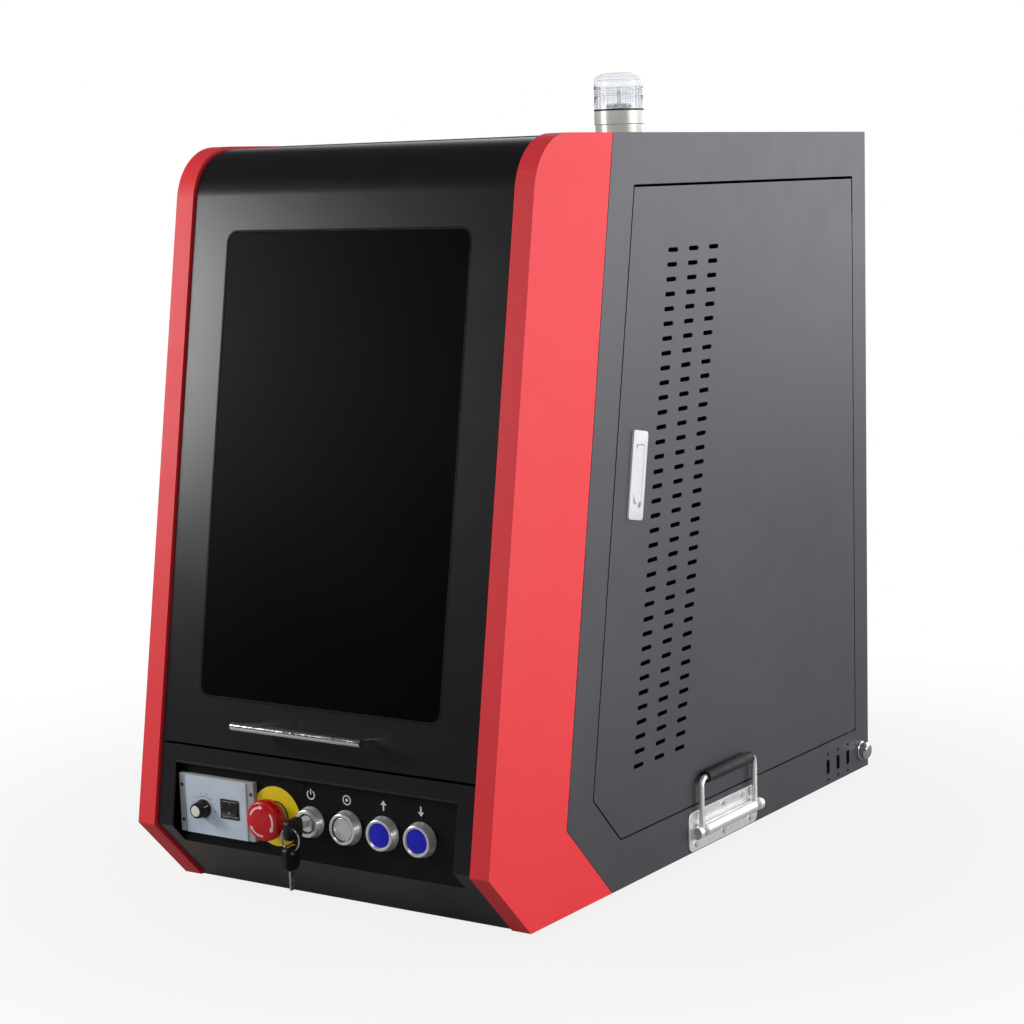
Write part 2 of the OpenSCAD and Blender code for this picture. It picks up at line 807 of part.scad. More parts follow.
module worktable() color([0.72, 0.73, 0.75]) in_body() {
    y = bulkhead_y - column_d - table_gap - table_d;
    difference() {
        translate([-table_w / 2, y, table_z - table_t]) cube([table_w, table_d, table_t]);
        for (i = [-2 : 2]) translate([0, y + table_d / 2 + i * slot_pitch, table_z]) {
            cube([table_w + 2 * over, table_slot, 2 * table_slot], center = true);
            translate([0, 0, -table_under_z])
                cube([table_w + 2 * over, table_under.x, table_under.y], center = true);
        }
        for (sx = [-1, 1], sy = [-1, 1])
            translate([sx * jig_x / 2, y + table_d / 2 + sy * (jig_y / 2 - slot_pitch / 6),
                table_z - table_t - over]) cylinder(r = jig_r, h = table_t + 2 * over);
    }
    for (sx = [-1, 1], sy = [0, 1]) translate([sx * (table_w / 2 - table_leg) - table_leg / 2,
        y + table_leg_in + sy * (table_d - table_leg - 2 * table_leg_in), base_t])
        cube([table_leg, table_leg, table_z - table_t - base_t]);
}

module z_column() color([0.55, 0.56, 0.58]) in_body() difference() {
    y = bulkhead_y - column_d;
    union() {
        translate([-column_half, y, column_z[0] - column_foot])
            cube([2 * column_half, column_d, column_z[1] - column_z[0] + column_foot]);
        for (s = [-1, 1]) translate([s * rail_x - rail_w / 2, y - rail_d, column_z[0]])
            cube([rail_w, rail_d, column_z[1] - column_z[0]]);
        for (z = [column_z[0], column_z[1] - bearing_t]) translate([-bearing_t, screw_y - bearing_out, z])
            cube([2 * bearing_t, y - screw_y + bearing_out, bearing_t]);
        translate([-motor_w / 2 - motor_lip, screw_y - motor_w / 2 - motor_lip, column_z[1]])
            cube([motor_w + 2 * motor_lip, bulkhead_y - screw_y + motor_w / 2 + motor_lip, column_plate_t]);
    }
    translate([0, screw_y, column_z[0] - over]) cylinder(r = screw_r + run_fit, h = body_h);
}

module z_motor() color([0.10, 0.10, 0.11]) in_body() translate([0, screw_y, column_z[1] + column_plate_t])
    difference() {
        linear_extrude(motor_h) round_rect(motor_w, motor_w, motor_corner);
        translate([0, 0, -over]) cylinder(r = screw_r + run_fit, h = motor_bore + over);
    }

module lead_screw() color([0.66, 0.66, 0.68]) in_body() translate([0, screw_y, column_z[0] + over])
    cylinder(r = screw_r, h = column_z[1] + column_plate_t + screw_end - column_z[0] - over);

module z_carriage() color([0.20, 0.21, 0.23]) in_body() difference() {
    z = carriage_z - carriage_h / 2;
    union() {
        translate([-column_half + carriage_gap, carriage_y, z])
            cube([2 * column_half - 2 * carriage_gap, carriage_d, carriage_h]);
        translate([-head_w / 3, head_y + head_d, z + carriage_arm_in])
            cube([2 * head_w / 3, carriage_y - head_y - head_d + over, carriage_h - 2 * carriage_arm_in]);
    }
    for (s = [-1, 1]) translate([s * rail_x - rail_w / 2 - seat_gap,
        bulkhead_y - column_d - rail_d - seat_gap, z - over])
        cube([rail_w + 2 * seat_gap, rail_d + over, carriage_h + 2 * over]);
    translate([0, screw_y, z - over]) cylinder(r = screw_r + run_fit, h = carriage_h + 2 * over);
}

module galvo_head() color([0.16, 0.17, 0.19]) in_body() {
    z = carriage_z - carriage_h / 2;
    translate([-head_w / 2, head_y, z]) cube([head_w, head_d, head_h]);
    translate([0, head_y + head_d / 2, z + head_h]) cylinder(r = fibre_r, h = fibre_h);
    translate([0, head_y + head_d / 2, z + head_h + fibre_h]) cylinder(r = fibre_end_r, h = fibre_end_h);
    translate([0, head_y + head_d / 2, z - lens_seat])
        tube(lens_r - lens_wall, lens_r - 2 * lens_wall, lens_seat + over);
}

module marking_lens() color([0.08, 0.08, 0.09]) in_body()
    translate([0, head_y + head_d / 2, carriage_z - carriage_h / 2 - lens_seat - lens_h]) {
        tube(lens_r, lens_r - lens_wall, lens_h);
        translate([0, 0, glass_z]) cylinder(r = lens_r - lens_wall, h = glass_t);
    }

module laser_source() color([0.78, 0.79, 0.80]) in_body() translate([-source_w / 2, source_y, base_t]) {
    difference() {
        cube([source_w, source_l, source_h]);
        for (i = [0 : 11]) translate([fin_in + i * (source_w - 2 * fin_in) / 11.4, -over, source_h - fin_deep])
            cube([fin_w, source_l + 2 * over, fin_deep + over]);
    }
    translate([source_w / 2, -source_port_l, source_h / 2]) rotate([-90, 0, 0])
        cylinder(r = source_port_r, h = source_port_l);
}

module power_supply() color([0.70, 0.71, 0.72]) in_body()
    for (x = [-supply.x - supply_left, supply_right])
        translate([x, bulkhead_y + 2 * sheet_t, board_z - supply_drop - supply.z]) difference() {
        cube(supply);
        translate([supply_wall, supply_step, supply.z - supply_step_h])
            cube([supply.x - 2 * supply_wall, supply.y, supply_step_h + over]);
    }

module control_board() color([0.10, 0.35, 0.18]) in_body() translate([-board.x / 2, bulkhead_y + 2 * sheet_t, board_z]) {
    face = board_post + board.y;
    translate([0, board_post, 0]) cube(board);
    for (x = [board_post_in, board.x - board_post_in], z = [board_post_in, board.z - board_post_in])
        translate([x, 0, z]) rotate([-90, 0, 0]) cylinder(r = board_post_r, h = board_post + over);
    for (i = [0 : 4]) translate([relay_at.x + i * relay_pitch, face, relay_at.y]) cube(relay);
    translate([chip_at.x, face, chip_at.y]) cube(chip);
    translate([plug_at.x, face, plug_at.y]) cube(plug);
}

module fan_frame() color([0.07, 0.07, 0.08]) in_body()
    translate([fan_xz.x, body_d - sheet_t, fan_xz.y]) rotate([90, 0, 0]) {
        difference() {
            linear_extrude(fan_t) round_rect(fan_w, fan_w, fan_corner);
            translate([0, 0, -over]) cylinder(r = fan_bore, h = fan_t + 2 * over);
        }
        difference() {
            union() {
                translate([0, 0, fan_t - fan_hub_t]) cylinder(r = fan_bore / 3, h = fan_hub_t);
                for (a = [0, 90]) translate([0, 0, fan_t - fan_hub_t / 2]) rotate(a)
                    cube([2 * fan_bore + 3 * over, fan_rib.x, fan_rib.y], center = true);
            }
            translate([0, 0, fan_t - fan_hub_t - over])
                cylinder(r = fan_shaft_r + run_fit, h = fan_hub_t + 2 * over);
        }
    }

module fan_rotor() color([0.10, 0.10, 0.11]) in_body()
    translate([fan_xz.x, body_d - sheet_t, fan_xz.y]) rotate([90, 0, 0]) {
        translate([0, 0, fan_back]) cylinder(r = fan_bore / 3, h = fan_t - fan_back - fan_hub_t - over);
        translate([0, 0, fan_t - fan_hub_t - 2 * over]) cylinder(r = fan_shaft_r, h = fan_hub_t + over);
        for (i = [0 : 6]) rotate(i * 360 / 7) translate([fan_bore / 3 - 2 * over, 0, fan_t / 2 - over])
            rotate([blade_lean, 0, 0]) translate([0, -blade_t / 2, -blade_w / 2])
                cube([fan_bore * 2 / 3 - blade_gap, blade_t, blade_w]);
    }

module power_inlet() color([0.05, 0.05, 0.05]) in_body()
    translate([inlet_xz.x, body_d, inlet_xz.y]) rotate([-90, 0, 0]) {
        difference() {
            union() {
                linear_extrude(inlet_out) round_rect(inlet_flange.x, inlet_flange.y, inlet_flange_r);
                translate([-inlet_body.x / 2, -inlet_body.y / 2, -inlet_body.z])
                    cube([inlet_body.x, inlet_body.y, inlet_body.z + over]);
            }
            translate([-inlet_hole.x / 2, -inlet_hole.y / 2, -inlet_hole.z])
                cube([inlet_hole.x, inlet_hole.y, inlet_hole.z + inlet_out + over]);
        }
        for (i = [-1 : 1]) translate([i * inlet_pin_step - inlet_pin.x / 2, -inlet_pin_y, -inlet_hole.z - over])
            cube(inlet_pin);
    }

module data_sockets() color([0.10, 0.10, 0.10]) in_body() for (y = socket_y) on_side(y, socket_z) {
    difference() {
        translate([-socket_block.x / 2, -socket_block.y / 2, -sheet_t - socket_block.z]) cube(socket_block);
        translate([socket_lip - socket_w / 2, socket_lip - socket_h / 2, -sheet_t - socket_deep])
            cube([socket_w - 2 * socket_lip, socket_h - 2 * socket_lip, socket_deep + over]);
    }
    translate([-socket_tongue / 2, 2 * socket_lip - socket_h / 2, -sheet_t - socket_deep - over])
        cube([socket_tongue, socket_h - 4 * socket_lip, socket_deep]);
}

module rotary_socket() color([0.80, 0.80, 0.80]) in_body() on_side(rotary_yz.x, rotary_yz.y) {
    neck = rotary_r - over - run_fit;
    rim = rotary_r + rotary_rim;
    rotate_extrude() polygon([[0, -rotary_deep], [neck, -rotary_deep], [neck, 0], [rim, 0],
        [rim, rotary_flange_t], [rotary_r, rotary_flange_t], [rotary_r, rotary_side],
        [rotary_r - rotary_bevel, rotary_side + rotary_bevel], [0, rotary_side + rotary_bevel + rotary_dome]]);
}

module beacon_base() color([0.80, 0.81, 0.80]) in_body() translate([0, beacon_y, body_h]) {
    difference() {
        cylinder(r = beacon_r, h = beacon_base_h);
        translate([0, 0, beacon_base_h / 2]) difference() {
            cylinder(r = beacon_r + over, h = beacon_groove.y);
            translate([0, 0, -over]) cylinder(r = beacon_r - beacon_groove.x, h = beacon_groove.y + 2 * over);
        }
    }
    translate([0, 0, -beacon_stud]) cylinder(r = beacon_r / 3 - seat_gap, h = beacon_stud + over);
}

module beacon_core() color([0.16, 0.17, 0.18]) in_body() translate([0, beacon_y, body_h + beacon_base_h]) {
    cylinder(r = beacon_r + beacon_rim, h = beacon_ring_t);
    cylinder(r = beacon_r / 2, h = led_foot);
    cylinder(r1 = beacon_r / 3, r2 = beacon_r / 4, h = led_h);
    translate([0, 0, led_h]) sphere(r = beacon_r / 4);
}

module beacon_lens() color([0.92, 0.94, 0.95, 0.4]) in_body()
    translate([0, beacon_y, body_h + beacon_base_h + beacon_ring_t]) rotate_extrude() {
        r = beacon_r - beacon_rim;
        h = beacon_lens_h - beacon_ring_t;
        c = beacon_dome;
        w = beacon_wall;
        polygon(concat([[r - w, 0], [r, 0]],
            [for (a = [0 : 15 : 90]) [r - c, h - c * 0.8] + [c * cos(a), c * 0.8 * sin(a)]],
            [[0, h], [0, h - w]],
            [for (a = [90 : -15 : 0]) [r - c, h - c * 0.8] + [(c - w) * cos(a), (c * 0.8 - w) * sin(a)]]));
    }

module hood_zone() difference() {
    translate([0, hood_foot_z + hood_foot_gap]) square([hood_back, body_h]);
    translate([hood_back - 2 * knuckle_r - hinge_room, -over]) square([2 * hood_back, hinge_z]);
}

module window_cut(w, h, r) linear_extrude(4 * hood_fold, center = true) round_rect(w, h, r);

module hood_shell() color([0.09, 0.09, 0.10]) in_body() {
    difference() {
        union() {
            along_x(-hood_half, hood_half) intersection() {
                front_strip(hood_t);
                hood_zone();
            }
            for (s = [-1, 1]) translate([s * (hood_half - hood_t / 2), 0, 0])
                along_x(-hood_t / 2, hood_t / 2) intersection() {
                    front_strip(hood_fold);
                    hood_zone();
                }
        }
        on_front(window_s + window_h / 2, 0) window_cut(window_w, window_h, window_r);
    }
    for (s = [-1, 1]) difference() {
        union() for (i = [1, 3]) translate([s * hinge_x - hinge_len / 2 + i * hinge_pitch, hinge_y, hinge_z]) {
            rotate([0, 90, 0]) cylinder(r = knuckle_r, h = hinge_pitch - seat_gap);
            translate([0, -hinge_leaf_l, knuckle_r - hinge_leaf_t])
                cube([hinge_pitch - seat_gap, hinge_leaf_l, hinge_leaf_t]);
            translate([0, -hinge_leaf_l, knuckle_r - hinge_leaf_t])
                cube([hinge_pitch - seat_gap, hinge_leaf_seat, hinge_leaf_t + seat_gap + hood_t / 2]);
        }
        translate([s * hinge_x - hinge_len, hinge_y, hinge_z]) rotate([0, 90, 0])
            cylinder(r = pin_r + run_fit, h = 2 * hinge_len);
    }
    for (s = [-1, 1]) translate([s * strut_x, strut_head.x, strut_head.y]) {
        rotate([0, 90, 0]) translate([0, 0, -strut_rod_r]) cylinder(r = strut_rod_r, h = 2 * strut_rod_r);
        translate([s > 0 ? 0 : strut_x - hood_half + hood_t / 2, strut_lug_in - 2 * hood_fold, -strut_lug_h / 2])
            cube([hood_half - hood_t / 2 - strut_x, 2 * hood_fold - strut_lug_in - over, strut_lug_h]);
    }
}

module window_seal() color([0.30, 0.31, 0.32]) in_body()
    on_front(window_s + window_h / 2, -panel_set - hood_t) difference() {
        union() {
            translate([0, 0, -seal_t]) linear_extrude(seal_t)
                round_rect(window_w + 2 * seal_lip, window_h + 2 * seal_lip, window_r + seal_lip);
            translate([0, 0, -seal_t]) linear_extrude(seal_t + hood_t) round_rect(window_w, window_h, window_r);
        }
        translate([0, 0, hood_t - pane_t]) linear_extrude(2 * pane_t)
            round_rect(window_w - 2 * pane_ledge, window_h - 2 * pane_ledge, window_r - pane_ledge);
        translate([0, 0, -seal_t - over]) linear_extrude(2 * seal_t + 2 * over)
            round_rect(window_w - 2 * seal_lap, window_h - 2 * seal_lap, window_r - 2 * pane_ledge);
    }

module window_pane() color([0.02, 0.02, 0.02]) in_body()
    on_front(window_s + window_h / 2, -panel_set - pane_t)
        linear_extrude(pane_t - seat_gap)
            round_rect(window_w - 2 * pane_ledge, window_h - 2 * pane_ledge, window_r - pane_ledge);

module hood_handle() color([0.85, 0.85, 0.86]) in_body() on_front(bar_s, bar_out) {
    translate([-bar_l / 2, 0, 0]) rotate([0, 90, 0]) cylinder(r = bar_r, h = bar_l);
    for (s = [-1, 1]) translate([s * bar_posts / 2, 0, -bar_out - panel_set])
        cylinder(r = 0.8 * bar_r, h = bar_out + panel_set);
}

module along_strut(x) translate([x, strut_foot.x, strut_foot.y]) rotate([strut_a, 0, 0])
    rotate([-90, 0, 0]) children();

module strut_cylinders() color([0.08, 0.08, 0.09]) in_body() for (s = [-1, 1]) along_strut(s * strut_x)
    difference() {
        union() {
            translate([0, 0, strut_neck]) cylinder(r = strut_r, h = strut_tube - strut_neck);
            cylinder(r = strut_rod_r, h = strut_neck + 2 * over);
            rotate([0, 90, 0]) translate([0, 0, -strut_eye_t / 2]) cylinder(r = strut_eye_r, h = strut_eye_t);
        }
        rotate([0, 90, 0]) translate([0, 0, -strut_eye_t]) cylinder(r = strut_rod_r + run_fit, h = 2 * strut_eye_t);
        translate([0, 0, strut_bore_z]) cylinder(r = strut_rod_r + run_fit, h = strut_len);
    }

module strut_rods() color([0.80, 0.80, 0.82]) in_body() for (s = [-1, 1])
    along_strut(s * (strut_x - strut_offset)) {
    translate([s * strut_offset, 0, strut_rod_z])
        cylinder(r = strut_rod_r, h = strut_len - strut_rod_z - strut_rod_cut);
    translate([s * strut_offset, 0, strut_len - strut_arm]) rotate([0, -90 * s, 0])
        cylinder(r = strut_rod_r, h = strut_offset);
    translate([0, 0, strut_len - strut_arm]) cylinder(r = strut_rod_r, h = strut_arm_l);
    translate([-strut_ring_t / 2, 0, strut_len]) rotate([0, 90, 0])
        tube(strut_eye_r, strut_rod_r + strut_ring_gap, strut_ring_t);
}

module side_door() color([0.36, 0.36, 0.38]) in_body() difference() {
    union() {
        pan(inset(door_pts, door_gap), door_fold) slots();
        for (z = [door_foot_z + door_gap, door_top_z - door_gap - door_boss_h])
            translate([door_axis.x, door_axis.y, z]) cylinder(r = pin_r + door_boss_wall, h = door_boss_h);
    }
    translate([door_axis.x, door_axis.y, door_foot_z]) cylinder(r = pin_r + run_fit, h = door_top_z);
    on_side(latch_yz.x, latch_yz.y) rotate(-front_lean) translate([0, 0, -3 * sheet_t])
        linear_extrude(6 * sheet_t) square([latch_w - 2 * latch_lip.x, latch_l - 2 * latch_lip.y], center = true);
}

module on_latch() on_side(latch_yz.x, latch_yz.y) rotate(-front_lean) children();

module latch_housing() color([0.80, 0.80, 0.81]) in_body() on_latch() {
    difference() {
        union() {
            linear_extrude(latch_t) round_rect(latch_w, latch_l, latch_r);
            translate([0, 0, -latch_deep]) linear_extrude(latch_deep + over)
                square([latch_w - 2 * latch_lip.x - 2 * latch_fit, latch_l - 2 * latch_lip.y - 2 * latch_fit],
                    center = true);
        }
        translate([0, lever_top - lever_l / 2, latch_floor - latch_deep]) linear_extrude(latch_deep + latch_t)
            square([lever_w + over, lever_l + 2 * lever_room], center = true);
    }
    translate([-lever_w / 2 - over, lever_top, -lever_pin_in]) rotate([0, 90, 0])
        cylinder(r = pin_r, h = lever_w + 2 * over);
}

module latch_lever() color([0.86, 0.86, 0.87]) in_body() on_latch() difference() {
    union() {
        translate([-lever_w / 2, lever_top + lever_eye_r - lever_l, -over])
            cube([lever_w, lever_l, latch_t + over - seat_gap]);
        translate([-lever_w / 2, lever_top, -lever_pin_in]) rotate([0, 90, 0]) cylinder(r = lever_eye_r, h = lever_w);
    }
    translate([-lever_w, lever_top, -lever_pin_in]) rotate([0, 90, 0])
        cylinder(r = pin_r + run_fit, h = 2 * lever_w);
}

module on_chest(out) on_side(chest_yz.x, chest_yz.y, out) children();

module handle_plate() {
    on_chest(0) linear_extrude(chest_t) round_rect(chest_l, chest_h, chest_r);
    on_chest(pivot_out) difference() {
        union() {
            for (s = [-1, 1]) translate([s * (chest_l / 2 - chest_ear_in) - chest_ear_l / 2, 0, 0]) rotate([0, 90, 0])
                cylinder(r = barrel_out, h = chest_ear_l);
            translate([-bail_w / 2 + rod_r + arm_gap, 0, 0]) rotate([0, 90, 0])
                cylinder(r = barrel_out, h = bail_w - 2 * rod_r - 2 * arm_gap);
        }
        translate([-chest_l, 0, 0]) rotate([0, 90, 0]) cylinder(r = rod_r + run_fit, h = 2 * chest_l);
    }
}

module handle_plates() color([0.75, 0.74, 0.70]) in_body() {
    handle_plate();
    mirror([1, 0, 0]) handle_plate();
}

module bail() on_chest(pivot_out) {
    translate([-chest_l / 2 + bail_end_in, 0, 0]) rotate([0, 90, 0])
        cylinder(r = rod_r, h = chest_l - 2 * bail_end_in);
    translate([-bail_w / 2 + bail_bend, bail_h, 0]) rotate([0, 90, 0])
        cylinder(r = rod_r, h = bail_w - 2 * bail_bend);
    for (m = [0, 1]) mirror([m, 0, 0]) {
        translate([bail_w / 2, 0, 0]) rotate([-90, 0, 0]) cylinder(r = rod_r, h = bail_h - bail_bend);
        translate([bail_w / 2 - bail_bend, bail_h - bail_bend, 0]) rotate_extrude(angle = 90)
            translate([bail_bend, 0]) circle(r = rod_r);
    }
}

module grip() on_chest(pivot_out) translate([-bail_w / 2 + bail_bend + over, bail_h, 0]) rotate([0, 90, 0])
    tube(grip_r, rod_r + run_fit, bail_w - 2 * bail_bend - 2 * over);

module right_bail() color([0.75, 0.74, 0.70]) in_body() bail();
module right_grip() color([0.12, 0.12, 0.13]) in_body() grip();
module left_bail() color([0.75, 0.74, 0.70]) in_body() mirror([1, 0, 0]) bail();
module left_grip() color([0.12, 0.12, 0.13]) in_body() mirror([1, 0, 0]) grip();

module speed_controller() color([0.62, 0.68, 0.76]) in_body() on_plate(speed_x, speed_z) difference() {
    union() {
        translate([-speed_w / 2, -speed_h / 2, 0]) cube([speed_w, speed_h, speed_out]);
        translate([-speed_w / 2 + speed_end, -speed_h / 2, speed_out - over])
            cube([speed_w - 2 * speed_end, speed_h, speed_label_t + over]);
        translate([-speed_w / 2 + speed_end + seat_gap, -speed_h / 2 + speed_end / 2 + seat_gap, -speed_deep])
            cube([speed_w - 2 * speed_end - 2 * seat_gap, speed_h - speed_end - 2 * seat_gap, speed_deep + over]);
    }
    translate([rocker_x - rocker_w / 2, -rocker_h / 2, speed_out - rocker_deep])
        cube([rocker_w, rocker_h, rocker_deep + speed_label_t + over]);
    translate([knob_x, knob_z, -knob_shaft_l])
        cylinder(r = knob_shaft_r + run_fit, h = knob_shaft_l + speed_out + speed_label_t + over);
}

module speed_knob() color([0.07, 0.07, 0.08]) in_body() on_plate(speed_x + knob_x, speed_z + knob_z)
    translate([0, 0, speed_out + speed_label_t + seat_gap]) {
        difference() {
            union() {
                cylinder(r = knob_r, h = knob_foot_h);
                cylinder(r1 = knob_r - knob_taper, r2 = knob_r - 2 * knob_taper, h = knob_l);
            }
            for (i = [0 : 11]) rotate(i * 30) translate([knob_r - knob_flute_r / 2, 0, knob_flute_z])
                cylinder(r = knob_flute_r, h = knob_l, $fn = 12);
        }
        translate([0, 0, -knob_shaft_l]) cylinder(r = knob_shaft_r, h = knob_shaft_l + over);
    }

module run_rocker() color([0.06, 0.06, 0.07]) in_body()
    on_plate(speed_x + rocker_x, speed_z) translate([0, 0, speed_out + speed_label_t - rocker_sink])
        rotate([-rocker_tilt, 0, 0])
        translate([-rocker_w / 2 + seat_gap, 0, 0]) rotate([90, 0, 90]) linear_extrude(rocker_w - 2 * seat_gap)
            polygon([[-rocker_half, rocker_edge], [0, rocker_dip], [rocker_half, rocker_edge],
                [rocker_half, rocker_side], [rocker_foot, -rocker_foot], [-rocker_foot, -rocker_foot],
                [-rocker_half, rocker_side]]);

module estop_plate() color([0.98, 0.86, 0.05]) in_body() on_plate(row_x, row_z)
    difference() {
        tube(stop_plate_r, bezel_body_r + run_fit, stop_plate_t);
        translate([speed_x + speed_w / 2 + seat_gap - row_x - stop_plate_r, -stop_plate_r, -over])
            cube([stop_plate_r, 2 * stop_plate_r, stop_plate_t + 2 * over]);
        translate([row_pitch, 0, -over])
            cylinder(r = bezel_r - key_bezel_in + seat_gap, h = stop_plate_t + 2 * over);
    }

module estop_collar() color([0.72, 0.70, 0.45]) in_body() on_plate(row_x, row_z)
    translate([0, 0, stop_plate_t]) tube(stop_collar_r, stop_stem_r + run_fit, stop_collar_h - stop_plate_t);

module estop_stem() color([0.50, 0.50, 0.50]) in_body() on_plate(row_x, row_z)
    translate([0, 0, -stop_stem_back]) cylinder(r = stop_stem_r, h = stop_out - stop_roof + stop_stem_back);

module estop_head() color([0.80, 0.05, 0.08]) in_body() on_plate(row_x, row_z) difference() {
    rotate_extrude() polygon(concat([[0, stop_skirt]], [for (p = stop_head_shares)
        [stop_r * (1 - p.x), stop_skirt + (stop_out - stop_skirt) * p.y]]));
    translate([0, 0, stop_skirt - over]) cylinder(r = stop_collar_r + stop_collar_gap, h = stop_travel + over);
    translate([0, 0, stop_skirt - over])
        cylinder(r = stop_stem_r + run_fit, h = stop_out - stop_roof - stop_skirt + over);
}

module bezel(flange, rim, bore) rotate_extrude() polygon([[bore, 0], [flange, 0], [flange, bezel_flange_t],
    [rim, bezel_out - bezel_edge], [rim - bezel_edge, bezel_out], [bore, bezel_out]]);

module control_bezels() color([0.78, 0.78, 0.80]) in_body() {
    on_plate(key_x, row_z) bezel(bezel_r - key_bezel_in, bezel_rim_r - key_bezel_in, lock_r + run_fit);
    for (i = [2 : 4]) on_plate(row_x + i * row_pitch, row_z) bezel(bezel_r, bezel_rim_r, cap_r + 2 * run_fit);
}

module contact_blocks() color([0.10, 0.10, 0.11]) in_body() for (i = [0 : 4]) on_plate(row_x + i * row_pitch, row_z)
    difference() {
        union() {
            translate([0, 0, -block_neck])
                cylinder(r = i == 1 ? lock_r : bezel_body_r, h = block_neck + (i == 1 ? key_face : block_proud));
            translate([0, 0, -plate_t - nut_h]) cylinder(r = bezel_body_r + nut_wall, h = nut_h, $fn = 6);
            translate([-block_w / 2, -block_w / 2, -block_l]) cube([block_w, block_w, block_l - block_neck + over]);
        }
        translate([0, 0, -block_bore]) cylinder(r = (i == 1 ? barrel_r : i == 0 ? stop_stem_r : stem_r) + run_fit,
            h = block_bore + bezel_out + over);
    }

module key_barrel() color([0.82, 0.82, 0.83]) in_body() on_plate(key_x, row_z) difference() {
    translate([0, 0, -barrel_deep]) cylinder(r = barrel_r, h = barrel_deep + key_face - barrel_sink);
    translate([-key_blade.x / 2, -key_blade.y / 2, -slot_deep])
        cube([key_blade.x, key_blade.y, slot_deep + key_face + over]);
}

module key_bow() rotate([90, 0, 90]) translate([0, 0, -key_t / 2]) difference() {
    linear_extrude(key_t) round_rect(key_bow_h, key_bow_l, key_bow_r);
    translate([0, key_bow_l / 2 - key_hole_r - key_hole_in, -over]) cylinder(r = key_hole_r, h = key_t + 2 * over);
}

module control_key() color([0.06, 0.06, 0.06]) in_body() on_plate(key_x, row_z) {
    translate([-key_blade.x / 2 + run_fit, -key_blade.y / 2 + run_fit, -key_blade_deep])
        cube([key_blade.x - 2 * run_fit, key_blade.y - 2 * run_fit, key_blade_deep + key_face + key_neck + 2 * over]);
    translate([0, 0, key_tip - key_bow_l / 2]) key_bow();
}

module spare_key() color([0.60, 0.60, 0.60]) in_body() on_plate(key_x, row_z) translate([0, 0, ring_out]) {
    translate([0, ring_y, 0]) rotate_extrude() translate([ring_r, 0]) circle(r = ring_wire, $fn = 16);
    translate([0, spare_y, 0]) rotate([-90, 0, 0]) translate([0, 0, key_hole_r + key_hole_in - key_bow_l / 2]) {
        key_bow();
        translate([-spare_blade.x / 2, -spare_blade.y / 2, -key_bow_l / 2 - spare_blade_l])
            cube([spare_blade.x, spare_blade.y, spare_blade_l + 2 * over]);
    }
}

module cap(front) {
    translate([0, 0, cap_travel + over]) cylinder(r = cap_r, h = bezel_out - front - cap_travel - over);
    translate([0, 0, -cap_stem_l]) cylinder(r = stem_r, h = cap_stem_l + cap_travel + 2 * over);
}

module laser_cap() color([0.70, 0.71, 0.72]) in_body() on_plate(row_x + 2 * row_pitch, row_z) cap(over);
module up_cap() color([0.02, 0.02, 0.55]) in_body() on_plate(row_x + 3 * row_pitch, row_z) cap(over);
module down_cap() color([0.02, 0.02, 0.55]) in_body() on_plate(row_x + 4 * row_pitch, row_z) cap(over);

base_tray();
feet();
left_cheek();
right_cheek();
left_side_panel();
right_side_panel();
roof_panel();
rear_panel();
lower_front_panel();
control_plate();
screws();
hinge_pins();
bulkhead();
worktable();
z_column();
z_motor();
lead_screw();
z_carriage();
galvo_head();
marking_lens();
laser_source();
power_supply();
control_board();
fan_frame();
fan_rotor();
power_inlet();
data_sockets();
rotary_socket();
beacon_base();
beacon_core();
beacon_lens();
hood_shell();
window_seal();
window_pane();
hood_handle();
strut_cylinders();
strut_rods();
side_door();
latch_housing();
latch_lever();
handle_plates();
right_bail();
right_grip();
left_bail();
left_grip();
speed_controller();
speed_knob();
run_rocker();
estop_plate();
estop_collar();
estop_stem();
estop_head();
control_bezels();
contact_blocks();
key_barrel();
control_key();
spare_key();
laser_cap();
up_cap();
down_cap();
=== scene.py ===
"""Looks of an enclosed desktop laser marking machine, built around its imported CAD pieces."""
import json
import math

import bmesh
import bpy
from mathutils import Matrix, Vector


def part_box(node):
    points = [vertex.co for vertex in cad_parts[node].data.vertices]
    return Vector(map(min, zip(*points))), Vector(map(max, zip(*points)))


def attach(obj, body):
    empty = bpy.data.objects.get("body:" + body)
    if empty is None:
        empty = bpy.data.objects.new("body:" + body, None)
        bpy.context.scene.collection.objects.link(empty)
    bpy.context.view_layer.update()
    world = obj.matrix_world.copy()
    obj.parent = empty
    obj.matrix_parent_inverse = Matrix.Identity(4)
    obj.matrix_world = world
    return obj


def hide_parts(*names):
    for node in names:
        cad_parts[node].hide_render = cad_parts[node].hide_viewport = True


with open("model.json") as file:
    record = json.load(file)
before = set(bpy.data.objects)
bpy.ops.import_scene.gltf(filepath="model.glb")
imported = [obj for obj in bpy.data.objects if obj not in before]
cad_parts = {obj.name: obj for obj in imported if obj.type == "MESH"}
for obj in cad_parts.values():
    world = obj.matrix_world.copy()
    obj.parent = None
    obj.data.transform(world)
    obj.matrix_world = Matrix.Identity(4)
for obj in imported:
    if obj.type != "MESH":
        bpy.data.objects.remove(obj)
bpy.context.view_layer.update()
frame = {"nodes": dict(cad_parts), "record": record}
NODES = frame["nodes"]
BODY_OF = {
    node: body
    for body, members in frame["record"]["behaviour"]["bodies"].items()
    for node in members
}

# Places on the machine, read from the CAD pieces that carry them
MM = 0.001
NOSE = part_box("right_cheek")[0].y
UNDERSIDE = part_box("base_tray")[0].z
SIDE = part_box("right_cheek")[1].x
PLATE_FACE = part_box("control_plate")[0].y
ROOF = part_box("roof_panel")[1].z
LEAN = math.radians(9.8)

